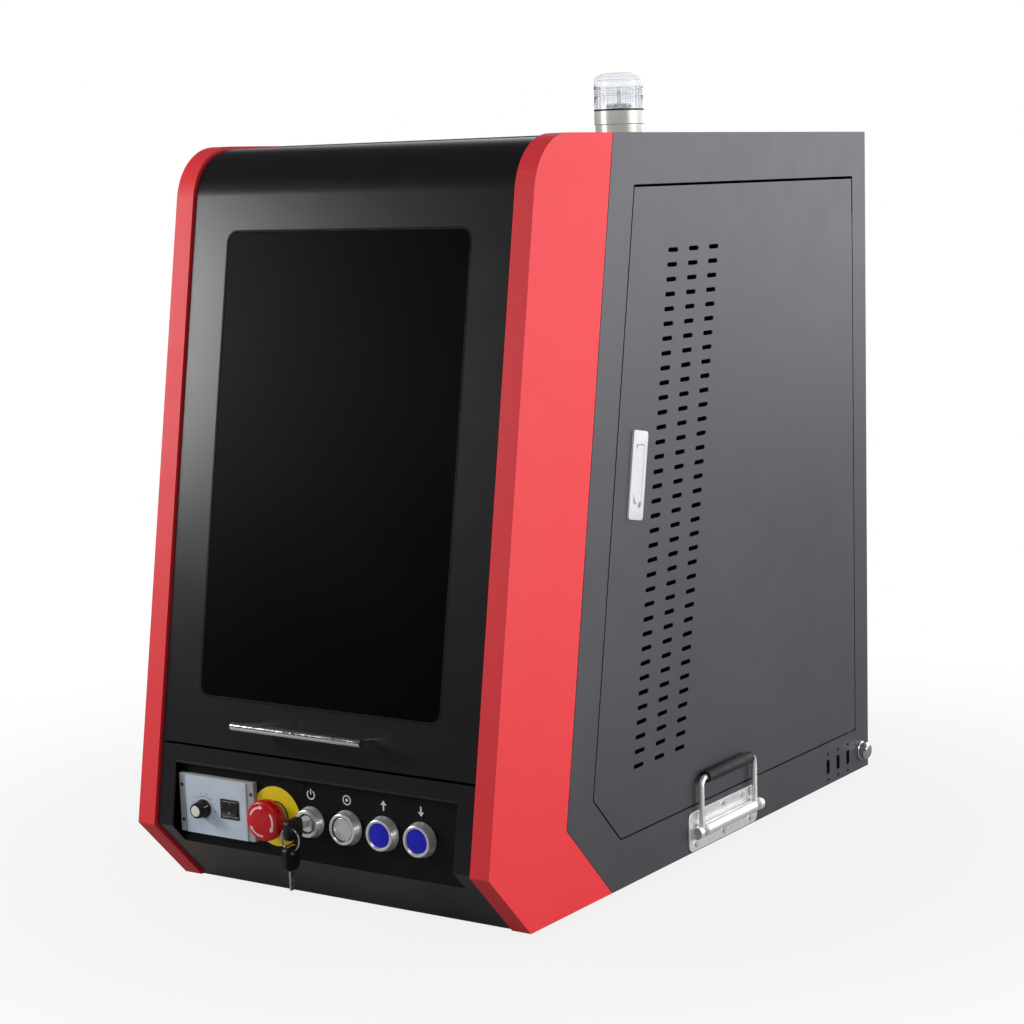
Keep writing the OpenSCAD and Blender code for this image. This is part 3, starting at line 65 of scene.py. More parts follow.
# The row of controls: x from the middle of the machine and z from its underside
ROW_Z = 91
SIGN_Z = 118
ROW_PITCH = 44
STOP_X = -51
KEY_X, LASER_X, UP_X, DOWN_X = (STOP_X + i * ROW_PITCH for i in range(1, 5))
CONTROLLER = (-123, 92.5)
KNOB = (-139, 89.5)
ROCKER = (-105, 92.5)

# On the sides, y from the nose and z from the underside. On the roof, x and y
BEACON = (0, 609)
CHEST_HANDLE = (436, 22.5)
LATCH = (274.7, 408.8)
SOCKETS_Y = (685, 710.5, 736)
SOCKET_Z = 21.3
ROTARY = (771, 22)


def at(x, y, z):
    """A point of the body, measured in millimetres from the nose and the underside."""
    return Vector((x * MM, NOSE + y * MM, UNDERSIDE + z * MM))


def placed(origin, across, up):
    """The frame of a face: x runs across it, y up it and z out of it, in millimetres."""
    across, up = Vector(across), Vector(up)
    turn = Matrix((across, up, across.cross(up))).transposed().to_4x4()
    return Matrix.Translation(origin) @ turn @ Matrix.Scale(MM, 4)


def on_plate(x, z, out=0.0):
    """A place on the control plate, from the middle and the underside of the machine."""
    origin = Vector((x * MM, PLATE_FACE - out * MM, UNDERSIDE + z * MM))
    return placed(origin, (1, 0, 0), (0, 0, 1))


def on_side(y, z, out=0.0, face=1):
    """A place on the right side, or on the left one where face is -1."""
    origin = at(0, y, z)
    origin.x = face * (SIDE + out * MM)
    return placed(origin, (0, face, 0), (0, 0, 1))


def on_roof(x, y, up=0.0):
    origin = at(x, y, 0)
    origin.z = ROOF + up * MM
    return placed(origin, (1, 0, 0), (0, 1, 0))


# Finishes


class NodeTree:
    """A tree of nodes, each added with its settings, its values and its links."""

    def __init__(self, tree):
        self.tree = tree

    def node(self, kind, inputs=None, **settings):
        made = self.tree.nodes.new(kind)
        for key, value in settings.items():
            setattr(made, key, value)
        for key, value in (inputs or {}).items():
            if isinstance(value, bpy.types.NodeSocket):
                self.tree.links.new(value, made.inputs[key])
            else:
                made.inputs[key].default_value = value
        return made

    def maths(self, operation, first, second):
        return self.node("ShaderNodeMath", {0: first, 1: second}, operation=operation).outputs[0]

    def length(self, vector):
        return self.node("ShaderNodeVectorMath", {0: vector}, operation="LENGTH").outputs["Value"]

    def span(self, value, start, end, low, high, kind="LINEAR"):
        """Low up to start, high from end on, and a slope between them."""
        ends = {"Value": value, "From Min": start, "From Max": end, "To Min": low, "To Max": high}
        return self.node("ShaderNodeMapRange", ends, interpolation_type=kind).outputs["Result"]

    def tones(self, share, first, second):
        made = self.node("ShaderNodeMix", {"Factor": share, 6: first, 7: second}, data_type="RGBA")
        return made.outputs[2]


class Finish(NodeTree):
    """One material, with short calls for what the finishes share."""

    def __init__(self, name):
        self.material = bpy.data.materials.new(name)
        self.material.use_nodes = True
        super().__init__(self.material.node_tree)
        self.shader = self.tree.nodes["Principled BSDF"]
        self.place = self.node("ShaderNodeTexCoord").outputs["Object"]

    def set(self, **values):
        for key, value in values.items():
            self.shader.inputs[key.replace("_", " ")].default_value = value
        return self

    def feed(self, value, label):
        self.tree.links.new(value, self.shader.inputs[label])

    def mapped(self, scale, origin=(0, 0, 0)):
        """Object coordinates about an origin in metres, stretched by scale."""
        inputs = {0: self.place, 1: tuple(origin)}
        moved = self.node("ShaderNodeVectorMath", inputs, operation="SUBTRACT")
        return self.node("ShaderNodeMapping", {"Vector": moved.outputs[0], "Scale": scale}).outputs[0]

    def noise(self, scale, detail=2.0, vector=None):
        inputs = {"Vector": vector or self.place, "Scale": scale, "Detail": detail}
        return self.node("ShaderNodeTexNoise", inputs).outputs["Fac"]

    def colours(self, value, first, second, start=0.35, end=0.65):
        share = self.span(value, start, end, 0.0, 1.0)
        self.feed(self.tones(share, (*first, 1), (*second, 1)), "Base Color")

    def rough(self, value, low, high):
        self.feed(self.span(value, 0.35, 0.65, low, high), "Roughness")

    def bump(self, height, depth):
        inputs = {"Height": height, "Distance": depth, "Strength": 1.0}
        self.feed(self.node("ShaderNodeBump", inputs).outputs[0], "Normal")


def powder_coat(name, colour, darker, gloss=0.5, grain=900, depth=6e-5, level=0.35, clouds=0.02):
    """Baked powder paint: a fine orange peel, faint clouds in tone and in gloss."""
    f = Finish(name).set(Specular_IOR_Level=level)
    f.colours(f.noise(5.0, 4.0), colour, darker, 0.3, 0.7)
    f.rough(f.noise(30.0, 3.0), gloss - clouds, gloss + clouds)
    f.bump(f.noise(grain, 2.0), depth)
    return f.material


def plain_plastic(name, colour, darker, gloss=0.45, grain=1400, depth=2e-5, level=0.4):
    """Moulded plastic with a fine spark-eroded skin."""
    f = Finish(name).set(Specular_IOR_Level=level)
    f.colours(f.noise(60.0, 3.0), colour, darker)
    f.rough(f.noise(200.0, 2.0), gloss - 0.05, gloss + 0.07)
    f.bump(f.noise(grain, 2.0), depth)
    return f.material


def brushed_metal(name, colour, darker, along, gloss):
    """Metal with fine lines that run along one axis."""
    f = Finish(name).set(Metallic=1.0)
    lines = f.noise(1.0, 3.0, f.mapped([30 if a else 2400 for a in along]))
    f.colours(lines, colour, darker)
    f.rough(lines, gloss - 0.08, gloss + 0.1)
    f.bump(lines, 1e-5)
    return f.material


def turned_metal(name, colour, darker, x, gloss=0.22, ring=2600.0):
    """Metal faced on a lathe: fine rings about a centre in the row of controls."""
    f = Finish(name).set(Metallic=0.7)
    reach = f.length(f.mapped((1, 0, 1), at(x, 0, ROW_Z)))
    inputs = {"W": f.maths("MULTIPLY", reach, ring), "Scale": 1.0, "Detail": 2.0}
    rings = f.node("ShaderNodeTexNoise", inputs, noise_dimensions="1D").outputs["Fac"]
    f.colours(rings, colour, darker)
    f.rough(rings, gloss - 0.06, gloss + 0.1)
    f.bump(rings, 2e-5)
    return f.material


def plated_metal(name, colour, tint, gloss=0.28, scale=90.0, wear=1.0, metal=1.0):
    """Bright plating with cloudy patches of tone and fine scratches."""
    f = Finish(name).set(Metallic=metal)
    f.colours(f.noise(scale, 3.0), colour, tint, 0.4, 0.6)
    f.rough(f.noise(260.0, 3.0), gloss - 0.1 * wear, gloss + 0.12 * wear)
    f.bump(f.noise(500.0, 3.0, f.mapped((1, 0.15, 0.15))), 0.000012 * wear)
    return f.material


def clear_lens():
    """Clear plastic that bends little, so that the beacon's inside shows through."""
    f = Finish("clear ribbed lens").set(Transmission_Weight=1.0, IOR=1.22)
    f.colours(f.noise(40.0, 2.0), (0.955, 0.96, 0.965), (0.955, 0.96, 0.965))
    f.rough(f.noise(120.0, 2.0), 0.03, 0.08)
    return f.material


def filter_pane():
    """Dark smooth plastic that mirrors very little."""
    f = Finish("dark filter pane").set(Specular_IOR_Level=0.038)
    f.colours(f.noise(3.0, 2.0), (0.0012, 0.0012, 0.0013), (0.0008, 0.0008, 0.0009))
    f.rough(f.noise(8.0, 2.0), 0.35, 0.39)
    return f.material


# Each finish has a name, a tone and a darker one. Then, where they differ from the usual:
# gloss, grain per metre, its depth in metres, specular level and clouds in the gloss
COATS = {
    "red": ("red powder coat", (0.88, 0.037, 0.048), (0.85, 0.033, 0.043), 0.52, 800, 5e-5, 0.42),
    "grey": ("textured grey coat", (0.049, 0.049, 0.057), (0.045, 0.045, 0.052), 0.4, 700, 9e-5, 0.5),
    "black": (
        "satin black coat", (0.008, 0.0084, 0.0105), (0.0066, 0.007, 0.0086), 0.29, 1000, 5e-5, 0.5, 0.008
    ),
    "matt_black": (
        "matt black plate", (0.003, 0.0034, 0.0042), (0.0024, 0.0027, 0.0034), 0.5, 1200, 3e-5, 0.2
    ),
    "inner_grey": ("light inner paint", (0.42, 0.43, 0.44), (0.38, 0.39, 0.4), 0.5),
}
# Gloss, grain, depth and specular level
PLASTICS = {
    "rubber": ("black rubber", (0.014, 0.014, 0.015), (0.01, 0.01, 0.011), 0.62, 900, 4e-5, 0.3),
    "seal": ("dark rubber lip", (0.008, 0.008, 0.009), (0.006, 0.006, 0.007), 0.6, 1400, 2e-5, 0.15),
    "black_plastic": ("black plastic", (0.012, 0.012, 0.013), (0.009, 0.009, 0.01), 0.35),
    "dark_plastic": ("dark case plastic", (0.03, 0.03, 0.032), (0.022, 0.022, 0.024), 0.5),
    "yellow": ("yellow plastic", (0.98, 0.76, 0.02), (0.94, 0.71, 0.015), 0.4),
    "olive": ("olive cream plastic", (0.42, 0.38, 0.13), (0.36, 0.32, 0.1), 0.4),
    "stop_red": ("red mushroom", (0.62, 0.006, 0.014), (0.56, 0.005, 0.011), 0.25, 1400, 1e-5),
    "blue": ("deep blue cap", (0.008, 0.01, 0.6), (0.006, 0.008, 0.5), 0.35, 1400, 1e-5),
    "print_white": ("white print", (0.8, 0.81, 0.82), (0.74, 0.75, 0.76), 0.5),
    "print_pink": ("pale arrow print", (0.86, 0.62, 0.64), (0.82, 0.56, 0.58), 0.4),
    # painted shade: a lightless black that stands in for the shade inside the vent slots and in the door
    # joint
    "painted_shade": ("lightless cloth", (0.0012, 0.0012, 0.0014), (0.0008, 0.0008, 0.001), 0.9, 1400, 2e-5, 0.0),
    "print_dark": ("dark print", (0.03, 0.035, 0.05), (0.02, 0.025, 0.04), 0.5),
    "label_blue": ("pale blue label", (0.6, 0.69, 0.8), (0.55, 0.64, 0.75), 0.42),
    "case_grey": ("grey case", (0.4, 0.41, 0.44), (0.36, 0.37, 0.4), 0.45),
    "cream": ("cream edge", (0.55, 0.55, 0.42), (0.5, 0.5, 0.38), 0.45),
    "board": ("circuit board", (0.02, 0.14, 0.05), (0.015, 0.11, 0.04), 0.4),
    "lens_line": ("moulded lens edge", (0.64, 0.66, 0.65), (0.58, 0.6, 0.59), 0.3),
    "beacon_core": ("dark beacon plastic", (0.62, 0.65, 0.64), (0.58, 0.61, 0.6), 0.45),
    "latch": ("satin latch plating", (0.8, 0.79, 0.83), (0.77, 0.76, 0.8), 0.45, 1400, 2e-5, 0.5),
}
# Gloss, patches per metre, how worn it is and how metallic
PLATED = {
    "beacon_base": ("plated beacon base", (0.9, 0.91, 0.84), (0.87, 0.88, 0.81), 0.3, 60.0, 0.2, 0.15),
    "chrome": ("chrome", (0.86, 0.86, 0.88), (0.78, 0.78, 0.8), 0.14),
    "zinc": ("zinc plate", (0.88, 0.86, 0.85), (0.82, 0.82, 0.84), 0.32, 60.0, 0.3, 0.6),
    "steel": ("bright steel", (0.66, 0.66, 0.68), (0.58, 0.58, 0.6), 0.28),
}
# The axis its lines run along, and gloss
BRUSHED = {
    "aluminium": ("brushed aluminium", (0.72, 0.73, 0.75), (0.62, 0.63, 0.65), (1, 0, 0), 0.32),
    "anodised": ("dark anodised", (0.09, 0.095, 0.105), (0.07, 0.075, 0.085), (0, 0, 1), 0.4),
}
# The centre's x, gloss and rings per metre
BEZEL = ((0.92, 0.92, 0.93), (0.86, 0.86, 0.87))
TURNED = {
    "bezel_key": ("turned key bezel", (0.92, 0.92, 0.93), (0.86, 0.86, 0.86), KEY_X),
    "bezel_laser": ("turned laser bezel", *BEZEL, LASER_X),
    "bezel_up": ("turned up bezel", *BEZEL, UP_X),
    "bezel_down": ("turned down bezel", *BEZEL, DOWN_X),
    "cap_spun": ("spun cap", (0.82, 0.83, 0.84), (0.74, 0.75, 0.76), LASER_X, 0.3, 3200),
}
FINISH = {
    key: recipe(*values)
    for recipe, table in (
        (powder_coat, COATS),
        (plain_plastic, PLASTICS),
        (plated_metal, PLATED),
        (brushed_metal, BRUSHED),
        (turned_metal, TURNED),
    )
    for key, values in table.items()
}
FINISH["pane"] = filter_pane()
FINISH["beacon_lens"] = clear_lens()


# Mesh helpers


def add_object(name, data):
    made = bpy.data.objects.new(name, data)
    bpy.context.scene.collection.objects.link(made)
    return made


def add_mesh(name, mesh, finishes):
    for key in finishes:
        mesh.materials.append(FINISH[key])
    return add_object(name, mesh)


def smooth(mesh, angle=32):
    mesh.shade_smooth()
    mesh.set_sharp_from_angle(angle=math.radians(angle))


def settle(made):
    """Turns an object and its modifiers into one plain mesh."""
    graph = bpy.context.evaluated_depsgraph_get()
    mesh = bpy.data.meshes.new_from_object(made.evaluated_get(graph))
    made.modifiers.clear()
    made.data = mesh
    mesh.name = made.name
    return made


def shape(name, draw, finishes, place, edge=0.0, angle=32):
    """A mesh drawn in millimetres by draw, put in its place, with its sharp edges rounded."""
    work = bmesh.new()
    draw(work)
    bmesh.ops.remove_doubles(work, verts=work.verts, dist=1e-4)
    bmesh.ops.recalc_face_normals(work, faces=work.faces)
    work.transform(place)
    mesh = bpy.data.meshes.new(name)
    work.to_mesh(mesh)
    work.free()
    made = add_mesh(name, mesh, finishes)
    smooth(mesh, angle)
    if edge:
        round_edges(made, edge * MM)
    return made


def round_edges(made, width, segments=2):
    """Rounds the sharp edges, and lets the large faces beside them shade as flat."""
    bevel = made.modifiers.new("edges", "BEVEL")
    bevel.width = width
    bevel.segments = segments
    bevel.limit_method = "ANGLE"
    bevel.angle_limit = math.radians(35)
    bevel.use_clamp_overlap = True
    shading = made.modifiers.new("shading", "WEIGHTED_NORMAL")
    shading.mode = "FACE_AREA"
    shading.weight = 50
    shading.keep_sharp = True
    return settle(made)


def fit(made, node, stands_for=()):
    """Lets a piece ride with the body of a CAD piece, and hides the CAD pieces it stands for."""
    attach(made, BODY_OF[node])
    if stands_for:
        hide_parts(*stands_for)
    return made


def add_piece(node, *drawn, **settings):
    """A drawn piece that rides with a CAD piece."""
    fit(shape(*drawn, **settings), node)


def stand_in(node, *drawn, **settings):
    """A drawn piece in place of a CAD piece."""
    fit(shape(*drawn, **settings), node, [node])


def soften(node, finish, edge=0.4, segments=2):
    """The CAD piece with its edges rounded as folded sheet or moulded plastic has them."""
    work = bmesh.new()
    work.from_mesh(NODES[node].data)
    bmesh.ops.remove_doubles(work, verts=work.verts, dist=2e-6)
    bmesh.ops.dissolve_limit(work, angle_limit=math.radians(0.3), verts=work.verts, edges=work.edges)
    mesh = bpy.data.meshes.new(node + "_finish")
    work.to_mesh(mesh)
    work.free()
    made = add_mesh(node + "_finish", mesh, [finish])
    for face in mesh.polygons:
        face.material_index = 0
    if mesh.has_custom_normals:
        mesh.attributes.remove(mesh.attributes["custom_normal"])
    smooth(mesh)
    round_edges(made, edge * MM, segments)
    return fit(made, node, [node])


def join_rings(work, rings, index=0, closed=False):
    """Walls from each ring of points to the next. A ring of one point is a tip."""
    pairs = list(zip(rings, rings[1:]))
    if closed:
        pairs.append((rings[-1], rings[0]))
    for low, high in pairs:
        steps = max(len(low), len(high))
        for i in range(steps):
            j = (i + 1) % steps
            corners = [low[i % len(low)], low[j % len(low)], high[j % len(high)], high[i % len(high)]]
            corners = list(dict.fromkeys(corners))
            if len(corners) > 2:
                work.faces.new(corners).material_index = index


def lathe(work, profile, steps=48, closed=False, index=0):
    """Turns a profile of (radius, height) about the piece's own z axis."""
    rings = []
    for radius, height in profile:
        turns = [2 * math.pi * i / steps for i in range(steps if radius else 1)]
        rings.append([work.verts.new((radius * math.cos(a), radius * math.sin(a), height)) for a in turns])
    join_rings(work, rings, index, closed)


def stack(work, levels, closed=False):
    """Walls through outlines of as many points each: pairs of (points, height)."""
    rings = [[work.verts.new((x, y, z)) for x, y in points] for points, z in levels]
    join_rings(work, rings, closed=closed)
    return rings


def prism(work, points, low, high, index=0):
    """A flat outline with a thickness."""
    under = [work.verts.new((x, y, low)) for x, y in points]
    upper = [work.verts.new((x, y, high)) for x, y in points]
    work.faces.new(list(reversed(under))).material_index = index
    work.faces.new(upper).material_index = index
    join_rings(work, [under, upper], index)


def spun(profile, steps, closed=False):
    """Draws one profile turned about z."""
    return lambda work: lathe(work, profile, steps, closed)


def flat(low, high, *outlines):
    """Draws outlines that all have one thickness."""

    def draw(work):
        for points in outlines:
            prism(work, points, low, high)

    return draw


def box_between(x, y, far_x, far_y):
    """The outline of a box with sharp corners."""
    return [(x, y), (far_x, y), (far_x, far_y), (x, far_y)]


def rounded_box(width, height, radius, steps=6, centre=(0, 0)):
    """The outline of a box with round corners."""
    points = []
    for sx, sy, start in ((1, 1, 0), (-1, 1, 90), (-1, -1, 180), (1, -1, 270)):
        x = centre[0] + sx * (width / 2 - radius)
        y = centre[1] + sy * (height / 2 - radius)
        for i in range(steps + 1):
            a = math.radians(start + 90 * i / steps)
            points.append((x + radius * math.cos(a), y + radius * math.sin(a)))
    return points


def arc_band(inner, outer, start, end, steps):
    """The outline of a curved bar between two radii and two angles in degrees."""
    turns = [math.radians(start + (end - start) * i / steps) for i in range(steps + 1)]
    outside = [(outer * math.cos(a), outer * math.sin(a)) for a in turns]
    inside = [(inner * math.cos(a), inner * math.sin(a)) for a in reversed(turns)]
    return outside + inside


# Repeats made with Geometry Nodes


class Repeat(NodeTree):
    """A Geometry Nodes tree with named inputs."""

    def __init__(self, name, inputs):
        super().__init__(bpy.data.node_groups.new(name, "GeometryNodeTree"))
        face = self.tree.interface
        face.new_socket("Geometry", in_out="INPUT", socket_type="NodeSocketGeometry")
        for label, value in inputs.items():
            kind = "NodeSocketInt" if isinstance(value, int) else "NodeSocketFloat"
            face.new_socket(label, in_out="INPUT", socket_type=kind).default_value = value
        face.new_socket("Geometry", in_out="OUTPUT", socket_type="NodeSocketGeometry")
        self.given = self.node("NodeGroupInput").outputs

    def vector(self, x, y, z):
        return self.node("ShaderNodeCombineXYZ", {0: x, 1: y, 2: z}).outputs[0]

    def bar(self, x, y, z):
        return self.node("GeometryNodeMeshCube", {"Size": self.vector(x, y, z)}).outputs["Mesh"]

    def aligned(self, vector, axis):
        return self.node("FunctionNodeAlignRotationToVector", {"Vector": vector}, axis=axis).outputs[0]

    def moved(self, geometry, **values):
        return self.node("GeometryNodeTransform", {"Geometry": geometry, **values}).outputs[0]

    def copies(self, points, unit, rotation):
        inputs = {"Points": points, "Instance": unit, "Rotation": rotation}
        return self.node("GeometryNodeInstanceOnPoints", inputs).outputs[0]

    def finish(self, geometry, key):
        real = self.node("GeometryNodeRealizeInstances", {"Geometry": geometry})
        inputs = {"Geometry": real.outputs[0], "Material": FINISH[key]}
        painted = self.node("GeometryNodeSetMaterial", inputs)
        self.node("NodeGroupOutput", {0: painted.outputs[0]})
        return self.tree


def grow(name, mesh, tree, sizes, angle=32):
    """An object that carries a tree with these sizes, settled into one plain mesh."""
    made = add_object(name, mesh)
    modifier = made.modifiers.new("repeat", "NODES")
    modifier.node_group = tree
    for item in tree.interface.items_tree:
        if item.in_out == "INPUT" and item.name in sizes:
            modifier[item.identifier] = sizes[item.name]
    settle(made)
    smooth(made.data, angle)
    return made


# Shares of a screw head's radius, and of its height for where the slot's middle lies
HEAD_TOP = 0.72
SLOT_LENGTH = 3.0
CROSS_LENGTH = 1.1
SLOT_LIFT = 0.62


def screw_tree(name, key, cross=False):
    """Pan heads with a driver slot, one on each point, facing along the point's normal."""
    inputs = {"Head Radius": 3.4 * MM, "Head Height": 1.4 * MM, "Slot Width": 0.9 * MM, "Turn Seed": 3}
    t = Repeat(name, inputs)
    radius = t.given["Head Radius"]
    height = t.given["Head Height"]
    cone = {
        "Vertices": 24,
        "Side Segments": 1,
        "Radius Top": t.maths("MULTIPLY", radius, HEAD_TOP),
        "Radius Bottom": radius,
        "Depth": height,
    }
    slotted = t.node("GeometryNodeMeshCone", cone).outputs["Mesh"]
    length = t.maths("MULTIPLY", radius, CROSS_LENGTH if cross else SLOT_LENGTH)
    lift = t.vector(0.0, 0.0, t.maths("MULTIPLY", height, SLOT_LIFT))
    cutters = [t.moved(t.bar(length, t.given["Slot Width"], height), Translation=lift)]
    if cross:
        cutters.append(t.moved(cutters[0], Rotation=(0, 0, math.pi / 2)))
    for cutter in cutters:
        meshes = {"Mesh 1": slotted, "Mesh 2": cutter}
        slotted = t.node("GeometryNodeMeshBoolean", meshes, operation="DIFFERENCE").outputs["Mesh"]
    facing = t.node("GeometryNodeInputNamedAttribute", {"Name": "facing"}, data_type="FLOAT_VECTOR")
    upright = t.aligned(facing.outputs["Attribute"], "Z")
    heads = t.copies(t.given["Geometry"], slotted, upright)
    ends = {"Seed": t.given["Turn Seed"], 2: 0.0, 3: math.pi}
    spin = t.node("FunctionNodeRandomValue", ends, data_type="FLOAT")
    twist = t.vector(0.0, 0.0, spin.outputs[1])
    spun = t.node("GeometryNodeRotateInstances", {"Instances": heads, "Rotation": twist})
    return t.finish(spun.outputs[0], key)


def scatter(name, tree, places, radius, height, slot):
    """Points with a facing, given to a tree that puts a screw on each. Sizes are in millimetres."""
    mesh = bpy.data.meshes.new(name)
    mesh.from_pydata([m.translation for m in places], [], [])
    facing = mesh.attributes.new("facing", "FLOAT_VECTOR", "POINT")
    for i, m in enumerate(places):
        facing.data[i].vector = m.col[2].to_3d().normalized()
    sizes = {"Head Radius": radius * MM, "Head Height": height * MM, "Slot Width": slot * MM}
    return grow(name, mesh, tree, sizes)


def circle_tree(name, key, inputs):
    """Bars that stand in a circle about z, each with its depth turned outwards."""
    t = Repeat(name, inputs)
    ring = {"Vertices": t.given["Copies"], "Radius": t.given["Ring Radius"]}
    points = t.node("GeometryNodeMeshCircle", ring).outputs[0]
    outwards = t.aligned(t.node("GeometryNodeInputPosition").outputs[0], "X")
    bar = t.bar(t.given["Bar Depth"], t.given["Bar Width"], t.given["Bar Height"])
    return t.finish(t.copies(points, bar, outwards), key)


def ring_of(name, tree_name, key, bar, copies, radius, place):
    """A circle of bars put in its place. The bar's depth, width and height are in millimetres."""
    labels = ("Bar Depth", "Bar Width", "Bar Height", "Ring Radius")
    sizes = {label: size * MM for label, size in zip(labels, (*bar, radius))}
    sizes["Copies"] = copies
    made = grow(name, bpy.data.meshes.new(name), circle_tree(tree_name, key, sizes), sizes)
    made.data.transform(place @ Matrix.Scale(1 / MM, 4))
    return made


# Sheet metal and plain pieces keep the CAD shape, with edges rounded by so many millimetres

SOFTENED = [
    ("red", {"right_cheek": 0.9, "left_cheek": 0.9}),
    ("grey", {
        "right_side_panel": 0.6, "left_side_panel": 0.5, "side_door": 0.5, "roof_panel": 0.5,
        "rear_panel": 0.4, "base_tray": 0.5,
    }),
    ("black", {"hood_shell": 0.7, "lower_front_panel": 0.7}),
    ("matt_black", {"control_plate": 0.4}),
    ("seal", {"window_seal": 0.4}),
    ("pane", {"window_pane": 0.3}),
    ("inner_grey", {"bulkhead": 0.4}),
    ("aluminium", {"worktable": 0.4, "z_column": 0.5}),
    ("dark_plastic", {"z_motor": 1.0}),
    ("anodised", {"z_carriage": 0.6, "galvo_head": 1.0}),
    ("dark_plastic", {"marking_lens": 0.6}),
    ("aluminium", {"laser_source": 0.8, "power_supply": 0.6}),
    ("board", {"control_board": 0.2}),
    ("dark_plastic", {"fan_frame": 0.6, "fan_rotor": 0.3}),
    ("black_plastic", {"power_inlet": 0.4, "strut_cylinders": 0.4}),
    ("chrome", {"strut_rods": 0.3}),
    ("zinc", {"handle_plates": 0.35, "right_bail": 0.4, "left_bail": 0.4}),
    ("rubber", {"feet": 1.0}),
    ("black_plastic", {"run_rocker": 0.5}),
    ("yellow", {"estop_plate": 0.2}),
    ("case_grey", {"estop_stem": 0.3}),
    ("black_plastic", {"contact_blocks": 0.4}),
    ("chrome", {"key_barrel": 0.3}),
    ("steel", {"hinge_pins": 0.3}),
    ("chrome", {"hood_handle": 1.2}),
]


# Beacon on the roof

# The lens: radii of its wall and ribs, heights of its foot and ribs, middle of the crown's round
LENS_R = 27.7
RIB_R = 28.0
LENS_FOOT = 32.7
LENS_RIBS = (48.0, 53.5)
CROWN = (16.7, 63.2)
CROWN_LINE = 64.0

BASE_PROFILE = [
    (0, -12), (8.6, -12), (8.6, 0), (26.6, 0), (27, 0.4), (27, 15.2), (27.3, 15.6), (28, 16.1), (28, 30.2),
    (27.6, 30.8), (0, 30.8),
]


def crown_arc(across, up, angles):
    turns = [math.radians(a) for a in angles]
    return [(CROWN[0] + across * math.cos(a), CROWN[1] + up * math.sin(a)) for a in turns]


def draw_beacon_lens(work):
    outer = [(LENS_R, LENS_FOOT)]
    for z in LENS_RIBS:
        outer += [(LENS_R, z - 0.9), (RIB_R, z - 0.45), (RIB_R, z + 0.45), (LENS_R, z + 0.9)]
    outer += crown_arc(11, 8.8, range(0, 91, 9))
    inner = crown_arc(9.4, 7.3, range(90, -1, -9))
    lathe(work, [*outer, (0, 72), (0, 70.5), *inner, (26.1, LENS_FOOT)], 96, closed=True)


def draw_lens_lines(work):
    """Fine grey rings inside the lens, beside each rib and at the crown."""
    for z in (47.0, 49.4, 52.5, 54.9, CROWN_LINE):
        r = 24.9 if z == CROWN_LINE else 26.0
        lathe(work, [(r - 0.3, z), (r, z), (r, z + 0.45)], 96, closed=True)


def draw_beacon_core(work):
    """The dark seat, and on it the lamp holder with its mast."""
    lathe(work, [(0, 31), (28.3, 31), (28.3, 32.4), (28.0, 32.6), (14, 32.6)], 96)
    lathe(work, [(14, 32.6), (14, 38.4), (13.4, 39), (0, 39)], 64, index=1)
    lathe(work, [(0, 39), (2.4, 39), (2.2, 54), (1.6, 55), (0, 55.4)], 48, index=1)


def make_beacon():
    place = on_roof(*BEACON)
    stand_in("beacon_base", "beacon_base_turned", spun(BASE_PROFILE, 96), ["beacon_base"], place)
    stand_in("beacon_lens", "beacon_lens_shell", draw_beacon_lens, ["beacon_lens"], place, angle=50)
    fin = ("upright lens fins", "lens_line", (0.5, 0.3, 24), 26, 25.7)
    fit(ring_of("beacon_lens_fins", *fin, on_roof(*BEACON, 45.5)), "beacon_lens")
    add_piece("beacon_lens", "beacon_lens_lines", draw_lens_lines, ["lens_line"], place)
    stand_in("beacon_core", "beacon_core_parts", draw_beacon_core, ["black_plastic", "beacon_core"], place)
    lamp = ("small lamps", "case_grey", (1.2, 2.4, 2), 10, 13.9)
    fit(ring_of("beacon_lamps", *lamp, on_roof(*BEACON, 36)), "beacon_core")


# Emergency stop

# The mushroom: its top, and the circle where the dome turns down into the rim
DOME_TOP = 25.4
DOME_R = 17.2
DOME_EDGE = 23.6
RIM_R = 20.3
RIM_DROP = 4.2

# The turning arrows on it: where they start and how far they turn, in degrees, and their size
ARROW_STARTS = (158, 38, -82)
ARROW_TURN = -62
ARROW_TIP_TURN = -17
ARROW_R = 14.2
ARROW_WIDTH = 2.1
ARROW_HEAD = 4.8


def stop_height(radius):
    """Height of the mushroom over the plate at a radius."""
    if radius > DOME_R:
        drop = (radius - DOME_R) / (RIM_R - DOME_R)
        return DOME_EDGE - RIM_DROP * (1 - math.sqrt(max(0.0, 1 - drop * drop)))
    return DOME_TOP - (DOME_TOP - DOME_EDGE) * (radius / DOME_R) ** 2.2


def draw_stop_head(work):
    steps = [0, 4, 8, 11, 13, 15, 16.2, DOME_R, 18, 18.8, 19.4, 19.9, 20.2, RIM_R]
    top = [(r, stop_height(r)) for r in steps]
    side = [(RIM_R, 15), (20.0, 11.2), (19.2, 10.1)]
    inside = [(15.7, 10.1), (15.7, 16), (6.1, 16), (6.1, 21), (0, 21)]
    lathe(work, top + side + inside, 96)


def draw_stop_arrows(work):
    """Curved arrows that lie on the dome: a band, then a head that ends in a point."""
    bands = [(ARROW_WIDTH / 2, ARROW_TURN * i / 18) for i in range(19)]
    for i in range(7):
        bands.append((ARROW_HEAD * (1 - i / 6) / 2 + 0.05, ARROW_TURN + ARROW_TIP_TURN * i / 6))
    for start in ARROW_STARTS:
        rows = []
        for half, turn in bands:
            a = math.radians(start + turn)
            across = [ARROW_R + half * (2 * k / 3 - 1) for k in range(4)]
            points = [(r * math.cos(a), r * math.sin(a), stop_height(r) + 0.12) for r in across]
            rows.append([work.verts.new(point) for point in points])
        for low, high in zip(rows, rows[1:]):
            for k in range(3):
                work.faces.new([low[k], low[k + 1], high[k + 1], high[k]])


